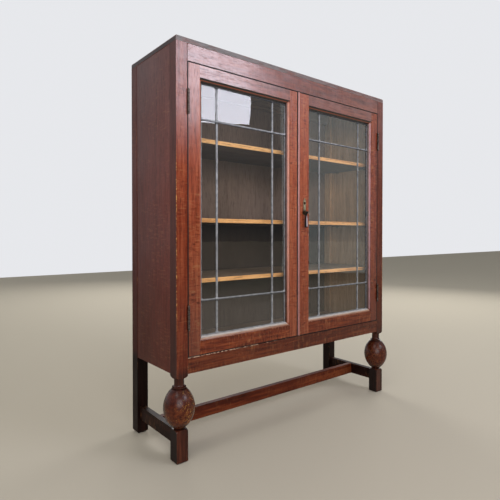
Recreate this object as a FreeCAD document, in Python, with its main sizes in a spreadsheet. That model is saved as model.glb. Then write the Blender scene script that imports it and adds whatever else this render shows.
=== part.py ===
import FreeCAD, Part
import os
import Sketcher

# Glazed bookcase: an oak carcase on bulbous turned legs, with a pair of leaded glass doors.
# Millimetres. X runs to the viewer's right, Y runs back from the front, Z runs up from the floor.
# The origin is on the floor, under the middle of the whole object, bulbs included.

SIZES = {
    # Carcase
    "carcase_width": 915,
    "carcase_depth": 275,
    "carcase_height": 1140,
    "post_size": 35,
    "top_thickness": 15,
    "top_round": 4.5,
    "frieze_height": 47,
    "apron_height": 44,
    "apron_bottom": 237,
    "rail_tenon_length": 20,
    "rail_tenon_thickness": 8,
    "rail_tenon_shoulder": 6,
    "mortise_spare": 0.5,
    "side_panel_thickness": 18,
    "side_panel_inset": 1,
    "side_tongue_length": 8,
    "side_tongue_thickness": 8,
    "rear_rail_thickness": 18,
    "rear_top_rail_height": 40,
    "back_panel_thickness": 5,
    "back_panel_lap": 10,
    "bottom_board_thickness": 14,
    "bearer_size": 20,
    "glue_block_size": 22,
    "glue_block_length": 60,
    "glue_block_pitch": 260,
    # Turned legs and stretchers
    "bulb_radius": 43,
    "bulb_arc_radius": 69,
    "bulb_centre": 148,
    "bulb_foot": 94.5,
    "bulb_top": 198.5,
    "neck_radius": 13.5,
    "shoulder_radius": 13,
    "shoulder_lift": 3,
    "block_height": 90.5,
    "collar_radius": 19,
    "collar_groove": 2,
    "collar_step": 1.5,
    "collar_edge": 3,
    "collar_cove": 5.5,
    "front_foot_chamfer": 3,
    "rear_foot_chamfer": 6,
    "stretcher_bottom": 45,
    "stretcher_height": 39,
    "stretcher_thickness": 18,
    "stretcher_tenon_length": 14,
    "stretcher_tenon_thickness": 9,
    "stretcher_tenon_shoulder": 6,
    "centre_tenon_length": 8,
    # Shelves
    "shelf_thickness": 12.5,
    "shelf_setback": 40,
    "shelf_end_gap": 1,
    "shelf_back_gap": 4,
    "upper_shelf_height": 875,
    "middle_shelf_height": 648,
    "lower_shelf_height": 476,
    "peg_radius": 3.5,
    "peg_flat": 2,
    "peg_hole_depth": 10,
    "peg_reach": 9,
    "peg_clearance": 0.1,
    "peg_edge_distance": 30,
    # Doors
    "door_thickness": 22,
    "door_side_gap": 1.5,
    "door_top_gap": 2,
    "door_bottom_gap": 1.6,
    "meeting_gap": 2,
    "meeting_offset": 10,
    "door_stop_gap": 0.5,
    "door_stop_depth": 12,
    "door_stop_drop": 12,
    "door_stop_height": 34,
    "hinge_stile_width": 37,
    "meeting_stile_reach": 43,
    "door_top_rail_height": 34,
    "door_bottom_rail_height": 38.4,
    "door_tenon_length": 18,
    "door_tenon_thickness": 7,
    "door_tenon_setback": 7,
    "door_tenon_shoulder": 5,
    "moulding_width": 10,
    "moulding_depth": 12,
    "moulding_quirk": 2,
    "moulding_edge": 2.5,
    "moulding_crown": 0.9,
    "meeting_bead_width": 12,
    "meeting_bead_depth": 5,
    "meeting_bead_crown": 3.5,
    # Leaded lights
    "came_width": 5.5,
    "came_thickness": 5,
    "glass_thickness": 3,
    "pane_bite": 2,
    "edge_came_show": 3,
    "came_column_inset": 55,
    "came_row_inset": 99,
    "light_clearance": 0.5,
    # Hinges
    "hinge_length": 64,
    "hinge_end_distance": 106,
    "leaf_thickness": 1.5,
    "leaf_width": 19,
    "knuckle_radius": 3.2,
    "knuckle_gap": 0.3,
    "barrel_clearance": 0.3,
    "hinge_pin_radius": 1.5,
    "pin_clearance": 0.05,
    "finial_radius": 2.4,
    "finial_height": 2,
    "hinge_screw_pitch": 21,
    "hinge_screw_setback": 11,
    "screw_head_radius": 2.6,
    "screw_head_height": 1.3,
    "screw_radius": 1.3,
    "screw_length": 13,
    "screw_clearance": 0.1,
    # Handle
    "handle_centre": 23,
    "handle_pivot_height": 686,
    "handle_plate_thickness": 1.5,
    "handle_plate_lobe": 8.5,
    "handle_plate_waist": 4.5,
    "handle_plate_waist_rise": 15,
    "handle_plate_head": 5.5,
    "handle_plate_head_rise": 31,
    "handle_plate_tip_rise": 47.5,
    "keyhole_radius": 2.9,
    "keyhole_slot": 2,
    "keyhole_drop": 7,
    "handle_lug_thickness": 2.5,
    "handle_lug_radius": 4.2,
    "handle_lug_gap": 0.4,
    "pull_pin_radius": 1.2,
    "pull_pin_stand": 7,
    "pull_eye_radius": 3.8,
    "pull_eye_width": 7,
    "pull_length": 49,
    "pull_shoulder": 0.6,
    "pull_foot_width": 12,
    "pull_corner": 2.5,
    "pull_thickness": 5,
    "pull_bevel": 1.2,
    # Lock
    "lock_case_width": 40,
    "lock_case_height": 52,
    "lock_case_depth": 9,
    "lock_case_edge": 7,
    "lock_plate_thickness": 1.5,
    "lock_plate_margin": 3,
    "lock_plate_ear": 10,
    "keyhole_depth": 5,
    "lock_bolt_height": 10,
    "lock_bolt_thickness": 4,
    "lock_bolt_length": 26,
    "lock_bolt_throw": 7,
    "lock_bolt_clearance": 0.2,
    "lock_bolt_recess": 0.5,
    "strike_plate_thickness": 1,
    "strike_plate_width": 11,
    "strike_plate_height": 32,
    # Bolts on the left door
    "bolt_radius": 2.5,
    "bolt_clearance": 0.1,
    "bolt_length": 72,
    "bolt_throw": 13,
    "bolt_end_gap": 5,
    "bolt_socket_clearance": 0.4,
    "bolt_plate_length": 56,
    "bolt_plate_width": 19,
    "bolt_screw_offset": 6.5,
    "bolt_plate_thickness": 1.5,
    "bolt_guide_length": 8,
    "bolt_guide_wall": 1.6,
    "bolt_knob_radius": 2.4,
    "bolt_knob_reach": 5,
    "bolt_tip_overhang": 8,
}


class Size:
    """A length that carries its value together with the sheet expression that drives it."""

    def __init__(self, value, text):
        self.value = value
        self.text = text

    def __add__(self, other):
        other = as_size(other)
        return Size(self.value + other.value, f"({self.text} + {other.text})")

    def __sub__(self, other):
        other = as_size(other)
        return Size(self.value - other.value, f"({self.text} - {other.text})")

    def __mul__(self, other):
        other = as_size(other)
        return Size(self.value * other.value, f"({self.text} * {other.text})")

    def __truediv__(self, other):
        other = as_size(other)
        return Size(self.value / other.value, f"({self.text} / {other.text})")

    def __radd__(self, other):
        return as_size(other) + self

    def __rsub__(self, other):
        return as_size(other) - self

    def __rmul__(self, other):
        return as_size(other) * self

    def __neg__(self):
        return as_size(0) - self


def as_size(item):
    """Let a plain number stand where a size is wanted."""
    return item if isinstance(item, Size) else Size(float(item), repr(float(item)))


def root(size):
    """Square root of a size."""
    return Size(size.value ** 0.5, f"sqrt({size.text})")


class Sheet:
    """The driving dimensions, kept in the document's spreadsheet and read by name."""

    def __init__(self, document):
        cells = document.addObject("Spreadsheet::Sheet", "Sizes")
        for row, (name, value) in enumerate(SIZES.items(), start=1):
            cells.set(f"A{row}", name)
            cells.set(f"B{row}", str(value))
            cells.setAlias(f"B{row}", name)
            setattr(self, name, Size(float(value), f"Sizes.{name}"))


doc = FreeCAD.newDocument("bookcase")
dim = Sheet(doc)
doc.recompute()

LEFT, RIGHT = -1, 1
SIDES = (("left", LEFT), ("right", RIGHT))
nodes = []

# How far a cut runs past the wood, and how near counts as lying on a plane.
ROOM = 2
TOUCH = 1e-6

# Shared places. Y is measured from the front face of the posts and rails.
FRONT = (dim.bulb_radius - dim.post_size / 2 - dim.carcase_depth) / 2
HALF_WIDTH = dim.carcase_width / 2
POST_INNER = HALF_WIDTH - dim.post_size
POST_AXIS = HALF_WIDTH - dim.post_size / 2
REAR_POST_FRONT = dim.carcase_depth - dim.post_size
UNDER_TOP = dim.carcase_height - dim.top_thickness
FRIEZE_BOTTOM = UNDER_TOP - dim.frieze_height
APRON_TOP = dim.apron_bottom + dim.apron_height
RAIL_THICKNESS = dim.door_thickness + dim.door_stop_gap
PANEL_INNER = HALF_WIDTH - dim.side_panel_inset - dim.side_panel_thickness
BACK_PANEL_FRONT = dim.carcase_depth - dim.back_panel_thickness
REAR_RAIL_FRONT = BACK_PANEL_FRONT - dim.rear_rail_thickness
STRETCHER_TOP = dim.stretcher_bottom + dim.stretcher_height
DOOR_BOTTOM = APRON_TOP + dim.door_bottom_gap
DOOR_TOP = FRIEZE_BOTTOM - dim.door_top_gap
DOOR_HINGE_EDGE = POST_INNER - dim.door_side_gap
OPENING_OUTER = DOOR_HINGE_EDGE - dim.hinge_stile_width
OPENING_INNER = dim.meeting_stile_reach
OPENING_BOTTOM = DOOR_BOTTOM + dim.door_bottom_rail_height
OPENING_TOP = DOOR_TOP - dim.door_top_rail_height
PIN_ACROSS = POST_INNER - dim.door_side_gap / 2
PIN_FORWARD = dim.knuckle_radius + dim.barrel_clearance
HINGE_HEIGHTS = (DOOR_BOTTOM + dim.hinge_end_distance, DOOR_TOP - dim.hinge_end_distance)
HINGE_SCREW_RISES = (-dim.hinge_screw_pitch, as_size(0), dim.hinge_screw_pitch)
LEFT_FREE_EDGE = -dim.meeting_offset - dim.meeting_gap / 2
RIGHT_FREE_EDGE = -dim.meeting_offset + dim.meeting_gap / 2
BOLT_ACROSS = (LEFT_FREE_EDGE - OPENING_INNER) / 2
BOLT_SETBACK = dim.door_thickness + dim.bolt_plate_thickness + dim.bolt_radius + dim.bolt_guide_wall
BOLT_SOCKET = (BOLT_ACROSS, BOLT_SETBACK, dim.bolt_radius + dim.bolt_socket_clearance)
BOLT_SOCKET_DEPTH = dim.bolt_throw - dim.bolt_end_gap + dim.mortise_spare
DOOR_STOP_BOTTOM = FRIEZE_BOTTOM - dim.door_stop_drop
KEYHOLE_HEIGHT = dim.handle_pivot_height + dim.handle_plate_head_rise
LOCK_BOLT_SETBACK = dim.door_thickness - dim.lock_plate_thickness - dim.lock_case_depth / 2
LOCK_DEPTH = dim.lock_plate_thickness + dim.lock_case_depth
LOCK_LEFT = RIGHT_FREE_EDGE + dim.lock_case_edge
LOCK_RIGHT = LOCK_LEFT + dim.lock_case_width
LOCK_LOW = KEYHOLE_HEIGHT - dim.lock_case_height / 2
LOCK_HIGH = KEYHOLE_HEIGHT + dim.lock_case_height / 2
LOCK_BOLT_TIP = RIGHT_FREE_EDGE + dim.lock_bolt_recess
TONGUE_SHOULDER = (dim.side_panel_thickness - dim.side_tongue_thickness) / 2
TONGUE_OUTER = HALF_WIDTH - dim.side_panel_inset - TONGUE_SHOULDER
PEG_SETBACKS = (dim.shelf_setback + dim.peg_edge_distance, REAR_POST_FRONT - dim.peg_edge_distance)
SHELVES = (
    ("upper", dim.upper_shelf_height),
    ("middle", dim.middle_shelf_height),
    ("lower", dim.lower_shelf_height),
)


def bind(item, path, size):
    """Drive one property of a document object from the sheet."""
    item.setExpression(path, as_size(size).text)


def place(item, across=0, back=0, up=0, keep=True):
    """Set a piece in the shared frame: Y counts from the front face of the posts."""
    bind(item, "Placement.Base.x", across)
    bind(item, "Placement.Base.y", FRONT + back)
    bind(item, "Placement.Base.z", up)
    if keep:
        nodes.append(item)
    return item


def new_body(label):
    body = doc.addObject("PartDesign::Body", label)
    body.Label = label
    return body


def origin_item(body, role):
    return [item for item in body.Origin.OriginFeatures if item.Role == role][0]


def new_sketch(body, axis, start):
    """A sketch square to one axis of its body, at a given distance along that axis."""
    plane = {"x": "YZ_Plane", "y": "XZ_Plane", "z": "XY_Plane"}[axis]
    sketch = body.newObject("Sketcher::SketchObject", f"{body.Name}_outline")
    sketch.AttachmentSupport = (origin_item(body, plane), [""])
    sketch.MapMode = "FlatFace"
    bind(sketch, "AttachmentOffset.Base.z", -as_size(start) if axis == "y" else as_size(start))
    return sketch


def fix(sketch, geometry, point, across=None, up=None):
    """Hold a point of a sketch at a place that the sheet drives."""
    for kind, size in (("DistanceX", across), ("DistanceY", up)):
        if size is not None:
            size = as_size(size)
            row = sketch.addConstraint(Sketcher.Constraint(kind, -1, 1, geometry, point, size.value))
            bind(sketch, f"Constraints[{row}]", size)


def draw_circle(sketch, across, up, radius):
    across, up, radius = as_size(across), as_size(up), as_size(radius)
    middle = FreeCAD.Vector(across.value, up.value, 0)
    circle = Part.Circle(middle, FreeCAD.Vector(0, 0, 1), radius.value)
    index = sketch.addGeometry(circle, False)
    fix(sketch, index, 3, across, up)
    row = sketch.addConstraint(Sketcher.Constraint("Radius", index, radius.value))
    bind(sketch, f"Constraints[{row}]", radius)


def draw_arc(sketch, begin, end, centre, turn):
    """An arc between two corners, held by one coordinate of its centre. Turn is 1 for anticlockwise."""
    first, last = (begin, end) if turn > 0 else (end, begin)
    middle = FreeCAD.Vector(centre[0].value, centre[1].value, 0)
    spokes = [FreeCAD.Vector(u.value, v.value, 0) - middle for u, v in (first, last)]
    circle = Part.Circle(middle, FreeCAD.Vector(0, 0, 1), spokes[0].Length)
    angles = [circle.parameter(middle + spoke) for spoke in spokes]
    index = sketch.addGeometry(Part.ArcOfCircle(circle, *angles), False)
    rise, run = (end[1] - begin[1]).value, (end[0] - begin[0]).value
    if abs(rise) >= abs(run):
        fix(sketch, index, 3, across=centre[0])
    else:
        fix(sketch, index, 3, up=centre[1])
    return (index, 1, 2) if turn > 0 else (index, 2, 1)


def draw_loop(sketch, corners):
    """A closed outline. A corner is (u, v), or (u, v, centre, turn) where an arc leads to it."""
    corners = [(as_size(item[0]), as_size(item[1]), *item[2:]) for item in corners]
    sides = []
    for number, corner in enumerate(corners):
        begin, end = corners[number - 1][:2], corner[:2]
        if len(corner) == 2:
            points = [FreeCAD.Vector(u.value, v.value, 0) for u, v in (begin, end)]
            sides.append((sketch.addGeometry(Part.LineSegment(*points), False), 1, 2))
        else:
            centre = [as_size(item) for item in corner[2]]
            sides.append(draw_arc(sketch, begin, end, centre, corner[3]))
    for number, (index, start, _) in enumerate(sides):
        before = sides[number - 1]
        sketch.addConstraint(Sketcher.Constraint("Coincident", before[0], before[2], index, start))
        fix(sketch, index, start, *corners[number - 1][:2])


def rectangle(left, right, bottom, top):
    return [(left, bottom), (right, bottom), (right, top), (left, top)]


def extrude(body, kind, axis, loops, start, end, circles=()):
    """Pad or pocket outlines along an axis of the body, from start up to end."""
    sketch = new_sketch(body, axis, start)
    for loop in loops:
        draw_loop(sketch, loop)
    for circle in circles:
        draw_circle(sketch, *circle)
    feature = body.newObject(f"PartDesign::{kind}", f"{body.Name}_{kind.lower()}")
    feature.Profile = (sketch, [""])
    bind(feature, "Length", as_size(end) - start)
    feature.Reversed = (axis == "y") == (kind == "Pad")
    return feature


def pad(body, axis, loops, start, end, circles=()):
    return extrude(body, "Pad", axis, loops, start, end, circles)


def pocket(body, axis, loops, start, end, circles=()):
    return extrude(body, "Pocket", axis, loops, start, end, circles)


def revolve(body, kind, loop, axis="Z_Axis"):
    """Turn an outline in the XZ plane about an axis of the body."""
    sketch = new_sketch(body, "y", 0)
    draw_loop(sketch, loop)
    feature = body.newObject(f"PartDesign::{kind}", f"{body.Name}_{kind.lower()}")
    feature.Profile = (sketch, [""])
    feature.ReferenceAxis = (origin_item(body, axis), [""])
    feature.Angle = 360
    return feature


def edge_feature(body, kind, prop, size, wanted):
    """Round or bevel the edges of the body for which wanted is true."""
    doc.recompute()
    base = body.Tip
    names = [f"Edge{row}" for row, edge in enumerate(base.Shape.Edges, start=1) if wanted(edge)]
    feature = body.newObject(f"PartDesign::{kind}", f"{body.Name}_{kind.lower()}")
    feature.Base = (base, names)
    bind(feature, prop, size)
    return feature


def group(label, members):
    """Like pieces that share one node."""
    item = doc.addObject("Part::Compound", label)
    item.Label = label
    item.Links = members
    nodes.append(item)
    return item


def cylinder(name, radius, length):
    item = doc.addObject("Part::Cylinder", name)
    bind(item, "Radius", radius)
    bind(item, "Height", length)
    return item


def turn_to(item, axis, sense):
    """Point a piece made along +Z along another axis."""
    aim = FreeCAD.Vector(*(sense if name == axis else 0 for name in "xyz"))
    item.Placement.Rotation = FreeCAD.Rotation(FreeCAD.Vector(0, 0, 1), aim)
    return item


def screw(name, axis, sense, across, back, up):
    """A countersunk wood screw: the head's flat face is at the given place, the point lies along the axis."""
    head = doc.addObject("Part::Cone", f"{name}_head")
    bind(head, "Radius1", dim.screw_head_radius)
    bind(head, "Radius2", dim.screw_radius)
    bind(head, "Height", dim.screw_head_height)
    whole = doc.addObject("Part::Fuse", name)
    whole.Base = head
    whole.Tool = cylinder(f"{name}_shank", dim.screw_radius, dim.screw_length)
    whole.Refine = True
    turn_to(whole, axis, sense)
    return place(whole, across, back, up, keep=False)


# Cuts shared by several pieces

def cut_into(body, axis, loops, face, depth, into, circles=()):
    """Pocket from a face into the wood; into is 1 or -1 along the axis."""
    start, end = (face, face + depth) if into > 0 else (face - depth, face)
    return pocket(body, axis, loops, start, end, circles)


def tenon_span(bottom, top, shoulder):
    return bottom + shoulder, top - shoulder


def hinge_recess(body, face, into, front):
    """Let two hinge leaves into the edge of a post or stile, with pilot holes for their screws."""
    half = dim.hinge_length / 2
    back = front + dim.leaf_width
    leaves = [rectangle(front, back, height - half, height + half) for height in HINGE_HEIGHTS]
    cut_into(body, "x", leaves, face, dim.leaf_thickness, into)
    pilot = dim.screw_radius + dim.screw_clearance
    setback = front + dim.hinge_screw_setback
    holes = [(setback, height + rise, pilot) for height in HINGE_HEIGHTS for rise in HINGE_SCREW_RISES]
    cut_into(body, "x", [], face, dim.screw_length + dim.mortise_spare, into, holes)


# Posts and legs

RAIL_TENON_SETBACK = (RAIL_THICKNESS - dim.rail_tenon_thickness) / 2
REAR_TENON_SETBACK = REAR_RAIL_FRONT + (dim.rear_rail_thickness - dim.rail_tenon_thickness) / 2
FRONT_RAILS = {"frieze_rail": (FRIEZE_BOTTOM, UNDER_TOP), "apron_rail": (dim.apron_bottom, APRON_TOP)}
REAR_RAILS = {
    "rear_top_rail": (UNDER_TOP - dim.rear_top_rail_height, UNDER_TOP),
    "rear_bottom_rail": (dim.apron_bottom, APRON_TOP),
}


def rail_mortises(body, side, rails, setback):
    """Mortises in a post's inner face for the rail over the opening and the rail under it."""
    deep = dim.rail_tenon_length + dim.mortise_spare
    loops = []
    for bottom, top in rails.values():
        low, high = tenon_span(bottom, top, dim.rail_tenon_shoulder)
        loops.append(rectangle(setback, setback + dim.rail_tenon_thickness, low, high))
    cut_into(body, "x", loops, -side * dim.post_size / 2, deep, side)


def panel_groove(body, side, face, into):
    """The groove that takes a side panel's tongue."""
    outer = TONGUE_OUTER - POST_AXIS
    inner = outer - dim.side_tongue_thickness
    floor = face + into * (dim.side_tongue_length + dim.mortise_spare)
    pocket(body, "z", [rectangle(side * outer, side * inner, face, floor)], dim.apron_bottom, UNDER_TOP)


def stretcher_mortise(body, face, into):
    half = dim.stretcher_tenon_thickness / 2
    low, high = tenon_span(dim.stretcher_bottom, STRETCHER_TOP, dim.stretcher_tenon_shoulder)
    deep = dim.stretcher_tenon_length + dim.mortise_spare
    cut_into(body, "y", [rectangle(-half, half, low, high)], face, deep, into)


def foot_chamfer(body, size):
    edge_feature(body, "Chamfer", "Size", size, lambda edge: edge.BoundBox.ZMax < TOUCH)


def turned_waste():
    """Half section of what the lathe takes off: down to the neck, with a rounded shoulder at each end."""
    beyond = dim.neck_radius + dim.shoulder_radius
    outside = beyond + dim.post_size
    upper = dim.apron_bottom + dim.shoulder_lift
    lower = dim.block_height - dim.shoulder_radius
    return [
        (dim.neck_radius, dim.block_height),
        (beyond, lower, (dim.neck_radius, lower), -1),
        (outside, lower),
        (outside, upper),
        (beyond, upper),
        (dim.neck_radius, upper - dim.shoulder_radius, (dim.neck_radius, upper), -1),
    ]


def bulb_outline():
    """Half section of the bulb, the groove over it and the coved collar, from the axis outwards."""
    sweep_centre = dim.bulb_radius - dim.bulb_arc_radius

    def swell(height):
        rise = height - dim.bulb_centre
        return sweep_centre + root(dim.bulb_arc_radius * dim.bulb_arc_radius - rise * rise)

    groove_up = dim.bulb_top + dim.collar_step
    edge_bottom = groove_up + dim.collar_step
    edge_top = edge_bottom + dim.collar_edge
    cove_top = edge_top + dim.collar_cove
    flare = dim.collar_radius - dim.neck_radius
    cove_radius = (flare * flare + dim.collar_cove * dim.collar_cove) / (2 * flare)
    return [
        (0, dim.block_height),
        (dim.neck_radius, dim.block_height),
        (swell(dim.bulb_foot), dim.bulb_foot),
        (swell(dim.bulb_top), dim.bulb_top, (sweep_centre, dim.bulb_centre), 1),
        (dim.collar_radius - dim.collar_groove, groove_up),
        (dim.collar_radius, edge_bottom),
        (dim.collar_radius, edge_top),
        (dim.neck_radius, cove_top, (dim.neck_radius + cove_radius, cove_top), -1),
        (0, cove_top),
    ]


def front_post(name, side):
    """A front post: square above, turned below into a neck, a collar, a bulb and a square block."""
    half = dim.post_size / 2
    body = new_body(f"front_post_{name}")
    pad(body, "z", [rectangle(-half, half, -half, half)], 0, UNDER_TOP)
    foot_chamfer(body, dim.front_foot_chamfer)
    revolve(body, "Groove", turned_waste())
    revolve(body, "Revolution", bulb_outline())
    panel_groove(body, side, half, -1)
    rail_mortises(body, side, FRONT_RAILS, RAIL_TENON_SETBACK - half)
    stretcher_mortise(body, half, -1)
    hinge_recess(body, -side * half, side, -half)
    place(body, side * POST_AXIS, half)


def rear_post(name, side):
    """A plain square rear post, rebated for the back panel."""
    half = dim.post_size / 2
    body = new_body(f"rear_post_{name}")
    pad(body, "z", [rectangle(-half, half, -half, half)], 0, UNDER_TOP)
    foot_chamfer(body, dim.rear_foot_chamfer)
    panel_groove(body, side, -half, 1)
    rail_mortises(body, side, REAR_RAILS, REAR_TENON_SETBACK - dim.carcase_depth + half)
    stretcher_mortise(body, -half, 1)
    lap = rectangle(-side * half, -side * (half - dim.back_panel_lap), half - dim.back_panel_thickness, half)
    pocket(body, "z", [lap], dim.apron_bottom, UNDER_TOP)
    place(body, side * POST_AXIS, dim.carcase_depth - half)


# Rails, panels and boards of the carcase

def rail(label, bottom, top, front, thickness, tenon_setback):
    """A rail between two posts, with a tenon at each end."""
    body = new_body(label)
    pad(body, "x", [rectangle(front, front + thickness, bottom, top)], -POST_INNER, POST_INNER)
    low, high = tenon_span(bottom, top, dim.rail_tenon_shoulder)
    tenon = rectangle(tenon_setback, tenon_setback + dim.rail_tenon_thickness, low, high)
    reach = POST_INNER + dim.rail_tenon_length
    pad(body, "x", [tenon], -reach, reach)
    place(body)


def side_panel(name, side):
    """A solid side panel with a tongue along each upright edge and holes for the shelf pegs."""
    body = new_body(f"side_panel_{name}")
    outer = side * (HALF_WIDTH - dim.side_panel_inset)
    inner = side * PANEL_INNER
    tongue_outer = side * TONGUE_OUTER
    tongue_inner = tongue_outer - side * dim.side_tongue_thickness
    front, back = dim.post_size, REAR_POST_FRONT
    loop = [
        (outer, front),
        (outer, back),
        (tongue_outer, back),
        (tongue_outer, back + dim.side_tongue_length),
        (tongue_inner, back + dim.side_tongue_length),
        (tongue_inner, back),
        (inner, back),
        (inner, front),
        (tongue_inner, front),
        (tongue_inner, front - dim.side_tongue_length),
        (tongue_outer, front - dim.side_tongue_length),
        (tongue_outer, front),
    ]
    pad(body, "z", [loop], dim.apron_bottom, UNDER_TOP)
    bore = dim.peg_radius + dim.peg_clearance
    holes = [(back, up - dim.peg_flat, bore) for _, up in SHELVES for back in PEG_SETBACKS]
    cut_into(body, "x", [], inner, dim.peg_hole_depth + dim.mortise_spare, side, holes)
    place(body)


def top_board():
    body = new_body("top_board")
    pad(body, "z", [rectangle(-HALF_WIDTH, HALF_WIDTH, 0, dim.carcase_depth)], UNDER_TOP, dim.carcase_height)
    top = dim.carcase_height.value - TOUCH
    edge_feature(body, "Fillet", "Radius", dim.top_round, lambda edge: edge.BoundBox.ZMin > top)
    place(body)


def back_panel():
    body = new_body("back_panel")
    half = POST_INNER + dim.back_panel_lap
    sheet = rectangle(-half, half, dim.apron_bottom, UNDER_TOP)
    pad(body, "y", [sheet], BACK_PANEL_FRONT, dim.carcase_depth)
    place(body)


def notched_board(label, front, back, half_long, front_notch, rear_notch, bottom, thickness):
    """A board between the side panels, notched where the posts stand inside them."""
    body = new_body(label)
    short = POST_INNER - (PANEL_INNER - half_long)
    loop = [(-half_long, rear_notch), (-half_long, front_notch)]
    if front_notch.value > front.value:
        loop += [(-short, front_notch), (-short, front), (short, front), (short, front_notch)]
    loop += [(half_long, front_notch), (half_long, rear_notch), (short, rear_notch)]
    loop += [(short, back), (-short, back), (-short, rear_notch)]
    pad(body, "z", [loop], bottom, bottom + thickness)
    return body


def bottom_board():
    """The floor of the case, with a socket for the left door's lower bolt."""
    bottom = APRON_TOP - dim.bottom_board_thickness
    body = notched_board(
        "bottom_board", RAIL_THICKNESS, REAR_RAIL_FRONT, PANEL_INNER, dim.post_size, REAR_POST_FRONT,
        bottom, dim.bottom_board_thickness,
    )
    cut_into(body, "z", [], APRON_TOP, BOLT_SOCKET_DEPTH, -1, [BOLT_SOCKET])
    place(body)


def bottom_bearers():
    """Two bearers glued to the side panels, which carry the floor of the case."""
    members = []
    top = APRON_TOP - dim.bottom_board_thickness
    for name, side in SIDES:
        body = new_body(f"bearer_{name}")
        inner = side * (PANEL_INNER - dim.bearer_size)
        loop = rectangle(inner, side * PANEL_INNER, dim.post_size, REAR_POST_FRONT)
        pad(body, "z", [loop], top - dim.bearer_size, top)
        members.append(place(body, keep=False))
    group("bottom_bearers", members)


def door_stop():
    """A strip glued behind the frieze, which the doors close against; the upper bolt shoots into it."""
    body = new_body("door_stop")
    back = RAIL_THICKNESS + dim.door_stop_depth
    strip = rectangle(RAIL_THICKNESS, back, DOOR_STOP_BOTTOM, DOOR_STOP_BOTTOM + dim.door_stop_height)
    pad(body, "x", [strip], -POST_INNER, POST_INNER)
    cut_into(body, "z", [], DOOR_STOP_BOTTOM, BOLT_SOCKET_DEPTH, 1, [BOLT_SOCKET])
    place(body)


def top_glue_blocks():
    """Glue blocks in the angle under the top, behind the frieze and before the rear top rail."""
    members = []
    half = dim.glue_block_length / 2
    for row, front in (("front", RAIL_THICKNESS), ("rear", REAR_RAIL_FRONT - dim.glue_block_size)):
        for step in (-1, 0, 1):
            body = new_body(f"glue_block_{row}_{step + 2}")
            middle = step * dim.glue_block_pitch
            loop = rectangle(middle - half, middle + half, front, front + dim.glue_block_size)
            pad(body, "z", [loop], UNDER_TOP - dim.glue_block_size, UNDER_TOP)
            members.append(place(body, keep=False))
    group("top_glue_blocks", members)


# Stretchers

def side_stretcher(name, side):
    """A stretcher between a front leg's block and a rear post, mortised for the centre stretcher."""
    body = new_body(f"side_stretcher_{name}")
    half = dim.stretcher_thickness / 2
    slab = rectangle(-half, half, dim.stretcher_bottom, STRETCHER_TOP)
    pad(body, "y", [slab], dim.post_size, REAR_POST_FRONT)
    low, high = tenon_span(dim.stretcher_bottom, STRETCHER_TOP, dim.stretcher_tenon_shoulder)
    tenon_half = dim.stretcher_tenon_thickness / 2
    tenon = rectangle(-tenon_half, tenon_half, low, high)
    reach = dim.stretcher_tenon_length
    pad(body, "y", [tenon], dim.post_size - reach, REAR_POST_FRONT + reach)
    middle = dim.carcase_depth / 2
    socket = rectangle(middle - tenon_half, middle + tenon_half, low, high)
    cut_into(body, "x", [socket], -side * half, dim.centre_tenon_length + dim.mortise_spare, side)
    place(body, side * POST_AXIS)


def centre_stretcher():
    body = new_body("centre_stretcher")
    middle = dim.carcase_depth / 2
    half = dim.stretcher_thickness / 2
    tenon_half = dim.stretcher_tenon_thickness / 2
    reach = POST_AXIS - half
    slab = rectangle(middle - half, middle + half, dim.stretcher_bottom, STRETCHER_TOP)
    pad(body, "x", [slab], -reach, reach)
    low, high = tenon_span(dim.stretcher_bottom, STRETCHER_TOP, dim.stretcher_tenon_shoulder)
    tenon = rectangle(middle - tenon_half, middle + tenon_half, low, high)
    pad(body, "x", [tenon], -reach - dim.centre_tenon_length, reach + dim.centre_tenon_length)
    place(body)


# Shelves

def shelf(name, bottom):
    front = dim.shelf_setback
    body = notched_board(
        f"shelf_{name}", front, BACK_PANEL_FRONT - dim.shelf_back_gap, PANEL_INNER - dim.shelf_end_gap,
        front, REAR_POST_FRONT - dim.shelf_end_gap, bottom, dim.shelf_thickness,
    )
    place(body)


def shelf_pegs():
    """Round pegs in the side panels, flattened on top where the shelves lie on them."""
    members = []
    for name, side in SIDES:
        for level, up in SHELVES:
            for row, back in zip(("front", "rear"), PEG_SETBACKS):
                body = new_body(f"peg_{name}_{level}_{row}")
                tip, end = -side * dim.peg_reach, side * dim.peg_hole_depth
                start, stop = (tip, end) if side > 0 else (end, tip)
                pad(body, "x", [], start, stop, [(0, 0, dim.peg_radius)])
                flat = rectangle(-dim.peg_radius, dim.peg_radius, dim.peg_flat, dim.peg_radius + dim.peg_flat)
                cut_into(body, "x", [flat], 0, dim.peg_reach, -side)
                members.append(place(body, side * PANEL_INNER, back, up - dim.peg_flat, keep=False))
    group("shelf_pegs", members)


# Door frames. A door's pieces are named by its side; toward is the sense from its hinges to its free edge.

MOULDING_BACK = dim.moulding_depth - dim.moulding_edge
MOULDING_RISE = MOULDING_BACK - dim.moulding_quirk
MOULDING_CHORD = root(dim.moulding_width * dim.moulding_width + MOULDING_RISE * MOULDING_RISE)
MOULDING_REACH = MOULDING_CHORD * MOULDING_CHORD / (8 * dim.moulding_crown) - dim.moulding_crown / 2
ARC_ACROSS = dim.moulding_width / 2 - MOULDING_REACH * MOULDING_RISE / MOULDING_CHORD
ARC_BACK = (dim.moulding_quirk + MOULDING_BACK) / 2 + MOULDING_REACH * dim.moulding_width / MOULDING_CHORD
BEYOND_MOULDING = dim.moulding_width + ROOM
TENON_BACK = dim.door_tenon_setback + dim.door_tenon_thickness
DOOR_RAILS = {
    "top": (OPENING_TOP, DOOR_TOP, -1),
    "bottom": (OPENING_BOTTOM, DOOR_BOTTOM, 1),
}


def door_tenon(inner, outer, sense):
    """Height of the tenon on a door rail, between the opening and the door's end."""
    return sorted(
        (inner - sense * dim.door_tenon_shoulder, outer + sense * dim.door_tenon_shoulder),
        key=lambda size: size.value,
    )


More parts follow.
